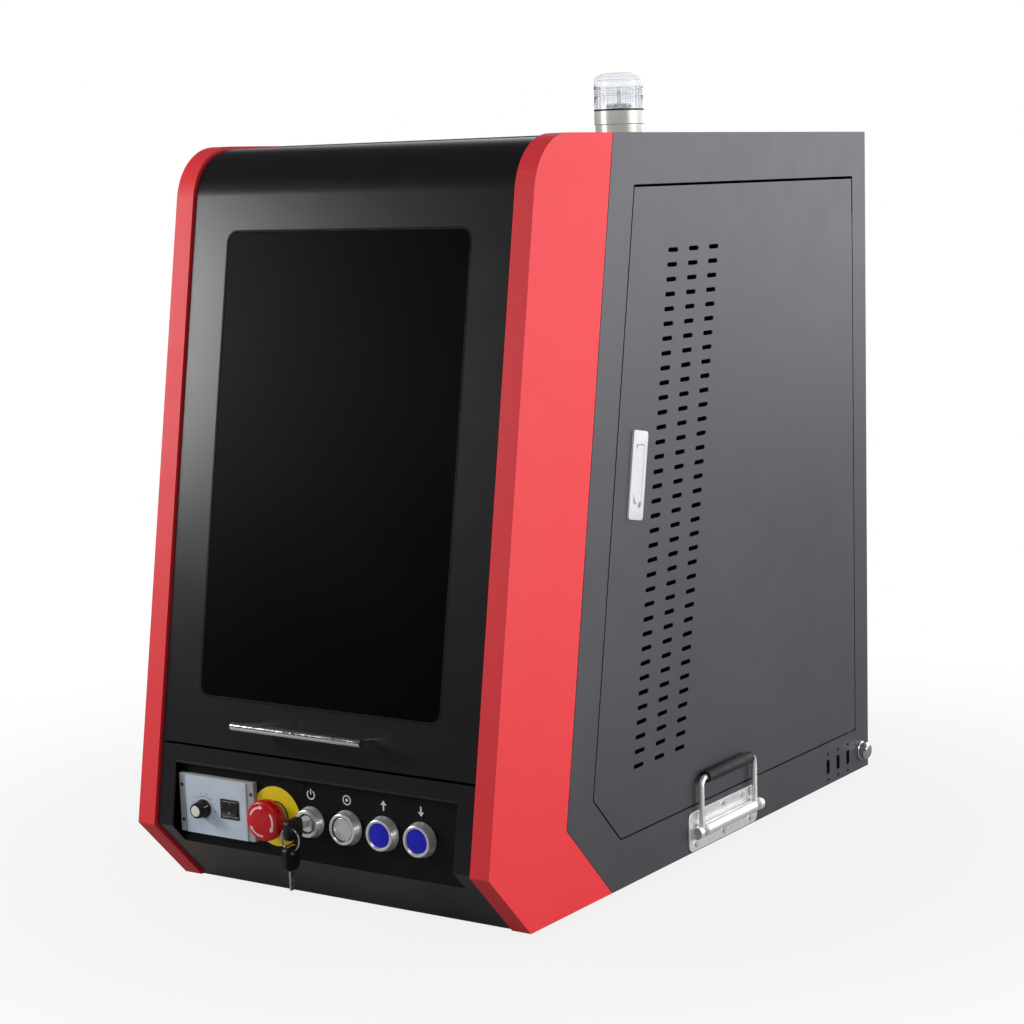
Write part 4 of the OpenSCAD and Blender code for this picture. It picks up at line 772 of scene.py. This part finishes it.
def draw_collar(work):
    profile = [(6.1, 1.2), (14.5, 1.2), (14.5, 2.4), (14.0, 2.9), (14.0, 7.6), (13.4, 8.4), (6.1, 8.4)]
    lathe(work, profile, 72, closed=True)
    lathe(work, [(14.5, 1.25), (15.9, 1.25), (15.9, 1.5), (14.5, 1.5)], 72, closed=True, index=1)


def make_stop():
    place = on_plate(STOP_X, ROW_Z)
    stand_in("estop_head", "stop_mushroom_dome", draw_stop_head, ["stop_red"], place, angle=40)
    add_piece("estop_head", "stop_arrows", draw_stop_arrows, ["print_pink"], place)
    stand_in("estop_collar", "stop_collar_turned", draw_collar, ["olive", "print_dark"], place)


# Turned bezels and caps

# Each cap's place, its face's radius, and the finishes of its face and of the ring around it
CAPS = {
    "laser": (LASER_X, 11.5, "cap_spun", "black_plastic"),
    "up": (UP_X, 12.1, "blue", "bezel_up"),
    "down": (DOWN_X, 12.1, "blue", "bezel_down"),
}
CAP_OUT = 8.7


def bezel(flange, rim, bore):
    profile = [(bore, 0), (flange - 0.3, 0), (flange, 0.3), (flange, 1.3), (flange - 0.25, 1.7)]
    profile += [(rim + 0.35, 9.2), (rim, 9.75), (rim - 0.45, 10), (bore + 0.5, 10), (bore, 9.5)]
    return spun(profile, 96, closed=True)


def sleeve(inner, outer, low, high, steps=72):
    return spun([(inner, low), (outer, low), (outer, high), (inner, high)], steps, closed=True)


def cap(rim):
    top = [(rim, CAP_OUT - 0.5), (rim - 0.4, CAP_OUT - 0.15), (rim - 0.9, CAP_OUT), (0, CAP_OUT)]
    return spun([(0, 4), (12.4, 4), (12.4, 7.6), (rim, 7.6), *top], 72)


def make_row():
    node = "control_bezels"
    place = on_plate(KEY_X, ROW_Z)
    stand_in(node, "key_bezel", bezel(15.6, 13.4, 9.9), ["bezel_key"], place, angle=25)
    add_piece(node, "key_lock_ring", sleeve(8.6, 9.75, 0, 8.9, 64), ["black_plastic"], place, 0.15)
    for label, (x, rim, face, around) in CAPS.items():
        place = on_plate(x, ROW_Z)
        finish = ["bezel_" + label]
        add_piece(node, label + "_bezel", bezel(17.2, 15, 12.5), finish, place, angle=25)
        stand_in(label + "_cap", label + "_cap_turned", cap(rim), [face], place, angle=25)
        ring = sleeve(rim - 0.05, 12.42, 7.5, 8.6)
        add_piece(label + "_cap", label + "_cap_ring", ring, [around], place)


# Keys

# Out from the plate: the foot of the key's bow, and the ring of the spare key
BOW_OUT = 17.5
RING_OUT = 34
# Down from the row: the ring's middle, the foot of its part in steel, the foot of the spare's head
RING_DROP = 9.2
RING_FOOT_DROP = 15.7
HEAD_FOOT_DROP = 39.8
RING_R = 11


def split_finish(made, keys, choose):
    """Gives each face the finish that choose names for its middle."""
    mesh = made.data
    mesh.materials.clear()
    for key in keys:
        mesh.materials.append(FINISH[key])
    for face in mesh.polygons:
        face.material_index = choose(face.center)


def make_keys():
    finishes = ["black_plastic", "steel"]
    bow = PLATE_FACE - BOW_OUT * MM
    key = soften("control_key", "black_plastic", 1.1, 3)
    split_finish(key, finishes, lambda centre: 0 if centre.y < bow else 1)
    ring_foot = at(0, 0, ROW_Z - RING_FOOT_DROP).z
    head_foot = at(0, 0, ROW_Z - HEAD_FOOT_DROP).z
    middle = at(KEY_X, 0, ROW_Z - RING_DROP)
    middle.y = PLATE_FACE - RING_OUT * MM

    def part(centre):
        reach = (centre.xz - middle.xz).length
        on_ring = abs(reach - RING_R * MM) < 1.3 * MM and abs(centre.y - middle.y) < 1.2 * MM
        if on_ring and centre.z > ring_foot - 14 * MM and abs(centre.x - middle.x) > 2.6 * MM:
            return 1
        return 0 if head_foot < centre.z <= ring_foot else 1

    split_finish(soften("spare_key", "black_plastic", 0.5, 3), finishes, part)


# Speed controller

FLUTES = 12
FLUTE_DEPTH = 0.75
POINTER_TURN = 28
# The dial numbers: where the first one stands and how far they run, in degrees, their ring and size
DIAL_START = 216
DIAL_RUN = 252
DIAL_R = 15
DIAL_SIZE = 3.0
# The rocker: how far its middle stands out and how far it leans at rest, and its marks
ROCKER_OUT = 4.2
ROCKER_LEAN = -9
MARK_UP = 4.4
MARK_OUT = 4.45
MARK_LEAN = 12.5
MARK_SIZE = 3.6


def draw_speed_case(work):
    prism(work, rounded_box(97, 60, 1.2, 3), 0, 6)
    prism(work, rounded_box(79, 60, 1.0, 3), 5.5, 7.1, index=1)


def draw_dial_arc(work):
    prism(work, arc_band(10.2, 11.7, 20, 128, 24), 7.15, 7.3)
    prism(work, arc_band(11.7, 12.2, 18, 130, 24), 7.15, 7.3, index=1)


def draw_knob(work):
    """The knob: its skirt, the fluted grip, the shaft, the face and the pale pointer."""
    lathe(work, [(0, 7.5), (9.1, 7.5), (9.5, 7.9), (9.5, 9.4), (8.9, 10), (8.3, 10)], 72)
    turns = [2 * math.pi * i / 96 for i in range(96)]
    cuts = [max(0.0, math.cos(a * FLUTES)) * FLUTE_DEPTH for a in turns]
    levels = []
    for height, radius in ((10, 8.6), (18.6, 7.9), (19.9, 7.5), (20.4, 6.9)):
        reaches = [radius - cut for cut in cuts]
        levels.append(([(r * math.cos(a), r * math.sin(a)) for r, a in zip(reaches, turns)], height))
    work.faces.new(stack(work, levels)[-1])
    lathe(work, [(0, -3), (3, -3), (3, 7.6), (0, 7.6)], 32)
    lathe(work, [(5.6, 20.3), (5.4, 20.45), (5.0, 20.5), (0, 20.5)], 48, index=1)
    turn = math.radians(POINTER_TURN)
    along = Vector((math.cos(turn), math.sin(turn)))
    side = Vector((-along.y, along.x)) * 0.4
    corners = [along * 5.7 - side, along * 9.2 - side, along * 9.2 + side, along * 5.7 + side]
    face = [work.verts.new((c.x, c.y, h)) for c, h in zip(corners, (20.5, 10.1, 10.1, 20.5))]
    work.faces.new(face).material_index = 2


def draw_rocker_rim(work):
    """A raised frame around the rocker's hole."""
    outer = rounded_box(24, 20, 1.2, 4)
    inner = rounded_box(20.7, 16.7, 0.6, 4)
    stack(work, [(outer, 7.1), (outer, 7.9), (inner, 7.9), (inner, 7.1)], closed=True)


def print_text(words, place, size, key, node, name):
    """Plain lettering printed flat on a face: dial numbers and switch marks only."""
    curve = bpy.data.curves.new(name, "FONT")
    curve.body = words
    curve.size = size
    curve.align_x = "CENTER"
    curve.align_y = "CENTER"
    curve.resolution_u = 3
    source = add_object(name, curve)
    graph = bpy.context.evaluated_depsgraph_get()
    mesh = bpy.data.meshes.new_from_object(source.evaluated_get(graph))
    bpy.data.objects.remove(source)
    mesh.transform(place)
    mesh.name = name
    mesh.materials.clear()
    fit(add_mesh(name, mesh, [key]), node)


def leaning(degrees):
    return Matrix.Rotation(math.radians(degrees), 4, "X")


def make_speed_controller():
    place = on_plate(*CONTROLLER)
    node = "speed_controller"
    stand_in(node, "speed_case", draw_speed_case, ["case_grey", "label_blue"], place, 0.5)
    label = flat(7.05, 7.2, rounded_box(74, 56.4, 1.5, 3, (0.6, -0.6)))
    add_piece(node, "speed_label", label, ["label_blue"], place)
    holes = [rounded_box(4.2, 3.4, 1.6, 5, (x, y)) for x in (-45, 45) for y in (-18, 18)]
    add_piece(node, "speed_case_holes", flat(5.9, 6.06, *holes), ["print_dark"], place)
    top_edge = flat(6.2, 7.15, box_between(-38.5, 29.2, 38.5, 30.05))
    add_piece(node, "speed_top_edge", top_edge, ["cream"], place)
    dial = on_plate(*KNOB)
    add_piece(node, "speed_arc", draw_dial_arc, ["print_white", "print_dark"], dial)
    for i in range(10):
        angle = math.radians(DIAL_START - DIAL_RUN * i / 9)
        spot = dial @ Matrix.Translation((DIAL_R * math.cos(angle), DIAL_R * math.sin(angle), 7.32))
        print_text(str(i), spot, DIAL_SIZE, "print_dark", node, "dial_number_%d" % i)
    finishes = ["black_plastic", "beacon_base", "print_white"]
    stand_in("speed_knob", "speed_knob_fluted", draw_knob, finishes, dial, angle=40)
    place = on_plate(*ROCKER)
    add_piece(node, "rocker_frame_rim", draw_rocker_rim, ["black_plastic"], place, 0.2)
    rocker = place @ Matrix.Translation((0, 0, ROCKER_OUT)) @ leaning(ROCKER_LEAN)
    for mark, way, name in (("I", 1, "rocker_on_mark"), ("O", -1, "rocker_off_mark")):
        spot = rocker @ Matrix.Translation((0, way * MARK_UP, MARK_OUT)) @ leaning(way * MARK_LEAN)
        print_text(mark, spot, MARK_SIZE, "case_grey", "run_rocker", name)


# Signs above the controls, in place of words

# Where the print starts and ends over the face, and how much larger than drawn it is
INK = (0.02, 0.08)
SIGN_SCALE = 1.6


def make_signs():
    dot = [(math.cos(math.pi * i / 10), math.sin(math.pi * i / 10)) for i in range(20)]
    arrow = (box_between(-0.5, -3, 0.5, 0.6), [(-2.2, 0.4), (2.2, 0.4), (0, 3.2)])
    power = (arc_band(2.3, 3.1, 125, 415, 28), box_between(-0.4, 0.2, 0.4, 3.6))
    for name, x, turn, outlines in (
        ("power_sign", KEY_X, 0, power),
        ("target_sign", LASER_X, 0, (arc_band(2.4, 3.1, 0, 359.9, 40), dot)),
        ("up_sign", UP_X, 0, arrow),
        ("down_sign", DOWN_X, math.pi, arrow),
    ):
        place = on_plate(x, SIGN_Z) @ Matrix.Rotation(turn, 4, "Z")
        place = place @ Matrix.Diagonal((SIGN_SCALE, SIGN_SCALE, 1, 1))
        add_piece("control_plate", name, flat(*INK, *outlines), ["print_white"], place)


# Latch on the side door

# The plate, the roundness of its edge, and the foot of the lever from its middle
LATCH_WIDTH = 27
LATCH_HEIGHT = 88
LATCH_EASE = 0.5
LEVER_FOOT = -28.6


def draw_latch_plate(work):
    """A plate with a hollow for the lever: rim, hollow walls and floor."""
    outer = rounded_box(LATCH_WIDTH, LATCH_HEIGHT, 3.2)
    ease = (1 - 2 * LATCH_EASE / LATCH_WIDTH, 1 - 2 * LATCH_EASE / LATCH_HEIGHT)
    eased = [(x * ease[0], y * ease[1]) for x, y in outer]
    inner = rounded_box(15, 62, 2.0, 6, (0, -0.6))
    rings = stack(work, [(outer, 0.0), (outer, 2.1), (eased, 2.5), (inner, 2.5), (inner, -6.0)])
    work.faces.new(list(reversed(rings[-1])))
    work.faces.new(list(reversed(rings[0])))


def draw_lever(work):
    """The lever, whose lower end is a shallow V to lift it by, with a ridge and two arms."""
    foot = LEVER_FOOT
    points = [(-7.3, foot + 12), (-5.4, foot + 6), (-1.5, foot + 1.2), (0.4, foot), (2.2, foot + 0.8)]
    points += [(7.3, foot + 3), (7.3, 29.6), (-2.5, 29.6), (-5.2, 28), (-6.9, 24), (-7.3, 18)]
    prism(work, points, -1, 2.3)
    prism(work, box_between(-7.1, -12.2, 7.1, -11.6), 2.1, 2.45)
    for x in (-4.8, 4.8):
        prism(work, rounded_box(3.2, 6.8, 1.2, 4, (x, 25.6)), -6.2, -0.5)


def make_latch():
    place = on_side(*LATCH) @ Matrix.Rotation(-LEAN, 4, "Z")
    stand_in("latch_housing", "latch_plate", draw_latch_plate, ["latch"], place, angle=40)
    body = flat(-10, -6.2, rounded_box(20.6, 79.6, 1.5, 3))
    add_piece("latch_housing", "latch_body", body, ["dark_plastic"], place, 0.4)
    stand_in("latch_lever", "latch_lever_plate", draw_lever, ["latch"], place, 0.45)


# Chest handles

# The rod of the bail: its middle from the side and over the plate, and half the grip's length
ROD_OUT = 7.5
ROD_UP = 56
GRIP_HALF = 48.5


def make_grips():
    """Rubber tubes with rounded shoulders around the rods."""
    shoulder = [(3.05, 0), (5.2, 0), (6.1, 0.5), (6.5, 1.8)]
    profile = [(r, z - GRIP_HALF) for r, z in shoulder]
    profile += [(r, GRIP_HALF - z) for r, z in reversed(shoulder)]
    rod = Matrix.Translation((0, ROD_UP, 0)) @ Matrix.Rotation(math.pi / 2, 4, "Y")
    for label, face in (("right_grip", 1), ("left_grip", -1)):
        place = on_side(*CHEST_HANDLE, ROD_OUT, face) @ rod
        stand_in(label, label + "_tube", spun(profile, 48, closed=True), ["rubber"], place)


# Sockets low on the side

ROTARY_PROFILE = [
    (0, -18), (8.7, -18), (8.7, 0), (10.8, 0), (10.8, 1.6), (10.4, 2), (9.8, 2), (9.8, 7.6), (9.2, 8.8),
    (7.6, 10.4), (6.4, 10.8), (0, 11),
]


def draw_socket(work):
    """A dark port: a thin flange, the hollow, its tongue and the block behind."""
    outer = rounded_box(8, 17, 0.8, 4)
    inner = rounded_box(6.6, 15.4, 0.6, 4)
    rings = stack(work, [(outer, -1.4), (outer, 0.15), (inner, 0.15), (inner, -13)])
    work.faces.new(list(reversed(rings[-1])))
    prism(work, rounded_box(2, 12.4, 0.4, 2), -13, -2.5, index=1)
    prism(work, box_between(-9, -17.5, 9, 17.5), -23, -13.2)


def make_sockets():
    finishes = ["black_plastic", "dark_plastic"]
    for i, y in enumerate(SOCKETS_Y):
        socket = shape("data_socket_%d" % i, draw_socket, finishes, on_side(y, SOCKET_Z), angle=30)
        fit(socket, "data_sockets", ["data_sockets"] if i == 0 else ())
    draw = spun(ROTARY_PROFILE, 72)
    stand_in("rotary_socket", "rotary_socket_cap", draw, ["chrome"], on_side(*ROTARY), angle=25)


# Drive parts inside

THREAD_MARGIN = 12
THREAD_LEAD = 8


def thread_tree(sizes):
    """A screw thread: one round ridge swept up a helix."""
    t = Repeat("lead screw thread", sizes)
    helix = {
        "Resolution": 24,
        "Rotations": t.given["Thread Turns"],
        "Start Radius": t.given["Thread Radius"],
        "End Radius": t.given["Thread Radius"],
        "Height": t.given["Thread Height"],
    }
    path = t.node("GeometryNodeCurveSpiral", helix)
    ridge = {"Resolution": 6, "Radius": t.given["Ridge Radius"]}
    section = t.node("GeometryNodeCurvePrimitiveCircle", ridge)
    curves = {"Curve": path.outputs[0], "Profile Curve": section.outputs[0]}
    return t.finish(t.node("GeometryNodeCurveToMesh", curves).outputs[0], "steel")


def make_lead_screw():
    soften("lead_screw", "steel")
    low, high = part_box("lead_screw")
    height = (high.z - low.z) - 2 * THREAD_MARGIN * MM
    sizes = {
        "Thread Radius": 4.0 * MM,
        "Thread Height": height,
        "Thread Turns": height / (THREAD_LEAD * MM),
        "Ridge Radius": 1.0 * MM,
    }
    name = "lead_screw_thread"
    made = grow(name, bpy.data.meshes.new(name), thread_tree(sizes), sizes, 50)
    foot = ((low.x + high.x) / 2, (low.y + high.y) / 2, low.z + THREAD_MARGIN * MM)
    made.data.transform(Matrix.Translation(foot))
    fit(made, "lead_screw")


# Painted shade: lightless sheets behind the vent slots, and a lightless lip in the joint over the door

# The painted shade sheet's foot and top, its front at the foot, its breadth and how deep inside it hangs
VENT_Z = (118, 655)
VENT_Y = -142
VENT_BAND = 124
VENT_DEPTH = 3.2


def along_side(x):
    """The frame of an upright plane at x: y and z of the machine in millimetres."""
    return placed(Vector((x, 0, 0)), (0, 1, 0), (0, 0, 1))


def make_vent_screens():
    low, high = VENT_Z
    back = VENT_Y + VENT_BAND
    lean = (high - low) * math.tan(LEAN)
    # Painted shade: a lightless black sheet just inside each vented side, so that the slots show dark
    shade_sheet = flat(-0.8, 0, [(VENT_Y, low), (back, low), (back + lean, high), (VENT_Y + lean, high)])
    for label, node, face in (("right", "side_door", 1), ("left", "left_side_panel", -1)):
        place = along_side(face * (SIDE - VENT_DEPTH * MM))
        add_piece(node, "vent_screen_" + label, shade_sheet, ["painted_shade"], place)


def make_door_lip():
    """Painted shade: a lightless black lip in the joint over the door and behind it, where the joint's
    dark line is widest.
    """
    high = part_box("side_door")[1]
    top = high.z / MM
    back = high.y / MM
    lead = min(v.co.y for v in NODES["side_door"].data.vertices if v.co.z > high.z - MM) / MM
    over = [(lead + 1, top - 0.4), (back, top - 0.4), (back, top + 2.6), (lead + 1.6, top + 2.2)]
    behind = box_between(back - 0.4, top - 40, back + 1.2, top + 2.6)
    add_piece("right_side_panel", "door_lip", flat(-1.2, 0.15, over, behind), ["painted_shade"], along_side(SIDE))


# Screws, each kind from one tree

# From the middle of a chest handle, and from the middle and the underside of the machine
HANDLE_SCREWS = [(-59, -14), (0, -14), (59, -14), (-42, 15.5), (0, 15.5), (42, 15.5)]
PLATE_SCREWS = [(-181, 126), (-181, 58.5), (-17, 126.5), (181, 126), (181, 58.5)]
SOCKET_SCREW = 15.3


def fit_screws():
    slotted = screw_tree("slotted pan heads", "zinc")
    cross = screw_tree("cross heads", "black_plastic", cross=True)
    y, z = CHEST_HANDLE
    places = [on_side(y + dy, z + dz, 2.2, face) for face in (1, -1) for dy, dz in HANDLE_SCREWS]
    fit(scatter("handle_screws", slotted, places, 3.4, 1.4, 0.9), "screws", ["screws"])
    places = [on_plate(x, z, 0.7) for x, z in PLATE_SCREWS]
    fit(scatter("plate_screws", cross, places, 2.7, 1.4, 0.7), "screws")
    drops = (-SOCKET_SCREW, SOCKET_SCREW)
    places = [on_side(y, SOCKET_Z + drop, 0.35) for y in SOCKETS_Y for drop in drops]
    fit(scatter("socket_screws", cross, places, 1.7, 0.7, 0.5), "screws")


# Stage, lights and camera

# Where the bright backdrop stands that mirrors see, and how strong it and the room are
BACKDROP_WAY = (0.45, 0.89, 0.0)
BACKDROP_GLOW = 2.4
BACKDROP_TINT = (0.98, 0.985, 1.03, 1)
ROOM_GLOW = 0.07
ROOM_LIGHT = (0.12, 0.42)

FLOOR_HALF = 6.0
FLOOR_GREY = (0.42, 0.42, 0.42, 1)
# How much of plain white the camera sees of the floor, from near the machine to far from it
FLOOR_FADE = (0.4, 1.1, 0.86, 1.0)

# The fit of the photo: its width, middle and focal length in pixels, and the turns in degrees
PICTURE = 1024
PICTURE_MIDDLE = (523.4, 577.1)
FOCAL = 2361.2
AZIMUTH, ELEVATION, ROLL = (math.radians(v) for v in (34.078, 9.611, -1.716))
CAMERA_PLACE = (1410.74, -1695.90, 700.54)
SENSOR = 36


def make_stage():
    """A pale floor that shades softly near the machine and fades to plain white around it."""
    ways = ((-1, -1), (1, -1), (1, 1), (-1, 1))
    mesh = bpy.data.meshes.new("floor")
    mesh.from_pydata([(x * FLOOR_HALF, y * FLOOR_HALF, 0) for x, y in ways], [], [(0, 1, 2, 3)])
    material = bpy.data.materials.new("pale floor")
    material.use_nodes = True
    material.node_tree.nodes.clear()
    t = NodeTree(material.node_tree)
    matt = t.node("ShaderNodeBsdfDiffuse", {"Color": FLOOR_GREY})
    glow = t.node("ShaderNodeEmission")
    reach = t.length(t.node("ShaderNodeTexCoord").outputs["Object"])
    fade = t.span(reach, *FLOOR_FADE, "SMOOTHSTEP")
    seen = t.node("ShaderNodeLightPath").outputs["Is Camera Ray"]
    share = t.maths("MULTIPLY", seen, fade)
    mix = t.node("ShaderNodeMixShader", {0: share, 1: matt.outputs[0], 2: glow.outputs[0]})
    t.node("ShaderNodeOutputMaterial", {"Surface": mix.outputs[0]})
    mesh.materials.append(material)
    add_object("floor", mesh)


def make_world():
    """White where the camera looks. Mirrors see it behind the machine, and a dim room in front."""
    world = bpy.data.worlds.new("studio")
    bpy.context.scene.world = world
    world.use_nodes = True
    t = NodeTree(world.node_tree)
    path = t.node("ShaderNodeLightPath").outputs
    way = t.node("ShaderNodeTexCoord").outputs["Generated"]
    rise = t.node("ShaderNodeSeparateXYZ", {0: way}).outputs["Z"]
    shown = t.maths("MAXIMUM", path["Is Camera Ray"], path["Is Transmission Ray"])
    behind = t.node("ShaderNodeVectorMath", {0: way, 1: BACKDROP_WAY}, operation="DOT_PRODUCT")
    backdrop = t.span(behind.outputs["Value"], 0.2, 0.7, 0.0, BACKDROP_GLOW, "SMOOTHSTEP")
    aloft = t.span(rise, 0.45, 0.85, 1.0, 0.15, "SMOOTHSTEP")
    mirrored = t.maths("ADD", t.maths("MULTIPLY", backdrop, aloft), ROOM_GLOW)
    soft = t.span(rise, -0.1, 0.9, *ROOM_LIGHT, "SMOOTHSTEP")
    level = t.node("ShaderNodeMix", {"Factor": path["Is Glossy Ray"], "A": soft, "B": mirrored})
    whole = t.node("ShaderNodeMix", {"Factor": shown, "A": level.outputs["Result"], "B": 1.0})
    tint = t.tones(path["Is Glossy Ray"], (1, 1, 1, 1), BACKDROP_TINT)
    ground = t.tree.nodes["Background"]
    t.tree.links.new(tint, ground.inputs["Color"])
    t.tree.links.new(whole.outputs["Result"], ground.inputs["Strength"])


def add_lamp(name, place, target, width, height, watts):
    data = bpy.data.lights.new(name, "AREA")
    data.shape = "RECTANGLE"
    data.size = width
    data.size_y = height
    data.energy = watts
    lamp = add_object(name, data)
    away = Vector(place) - Vector(target)
    lamp.rotation_euler = away.to_track_quat("Z", "Y").to_euler()
    lamp.location = place


def make_camera():
    """The photo's viewpoint, from a fit of its straight edges."""
    ahead = Vector((-math.sin(AZIMUTH), math.cos(AZIMUTH), 0)) * math.cos(ELEVATION)
    view = ahead - Vector((0, 0, math.sin(ELEVATION)))
    level = Vector((math.cos(AZIMUTH), math.sin(AZIMUTH), 0))
    upright = level.cross(view)
    right = level * math.cos(ROLL) + upright * math.sin(ROLL)
    up = upright * math.cos(ROLL) - level * math.sin(ROLL)
    data = bpy.data.cameras.new("camera")
    data.sensor_width = SENSOR
    data.lens = FOCAL / PICTURE * SENSOR
    data.shift_x = (PICTURE / 2 - PICTURE_MIDDLE[0]) / PICTURE
    data.shift_y = (PICTURE_MIDDLE[1] - PICTURE / 2) / PICTURE
    camera = add_object("camera", data)
    turn = Matrix((right, up, -view)).transposed().to_4x4()
    camera.matrix_world = Matrix.Translation(at(*CAMERA_PLACE)) @ turn
    bpy.context.scene.camera = camera


for coat, edges in SOFTENED:
    for piece, edge in edges.items():
        soften(piece, coat, edge)
make_beacon()
make_stop()
make_row()
make_keys()
make_speed_controller()
make_signs()
make_latch()
make_grips()
make_sockets()
make_lead_screw()
make_vent_screens()
make_door_lip()
fit_screws()
make_stage()
make_world()
make_camera()
add_lamp("side softbox", (1.9, 0.45, 0.55), (0.2, 0.1, 0.38), 1.5, 1.1, 26)
add_lamp("left softbox", (-1.19, -0.98, 0.79), (-0.17, -0.32, 0.58), 0.6, 0.44, 11.5)
add_lamp("front card", (0.7, -2.6, 2.5), (0, -0.2, 0.4), 1.4, 1.2, 13)
bpy.context.scene.view_settings.view_transform = "Standard"
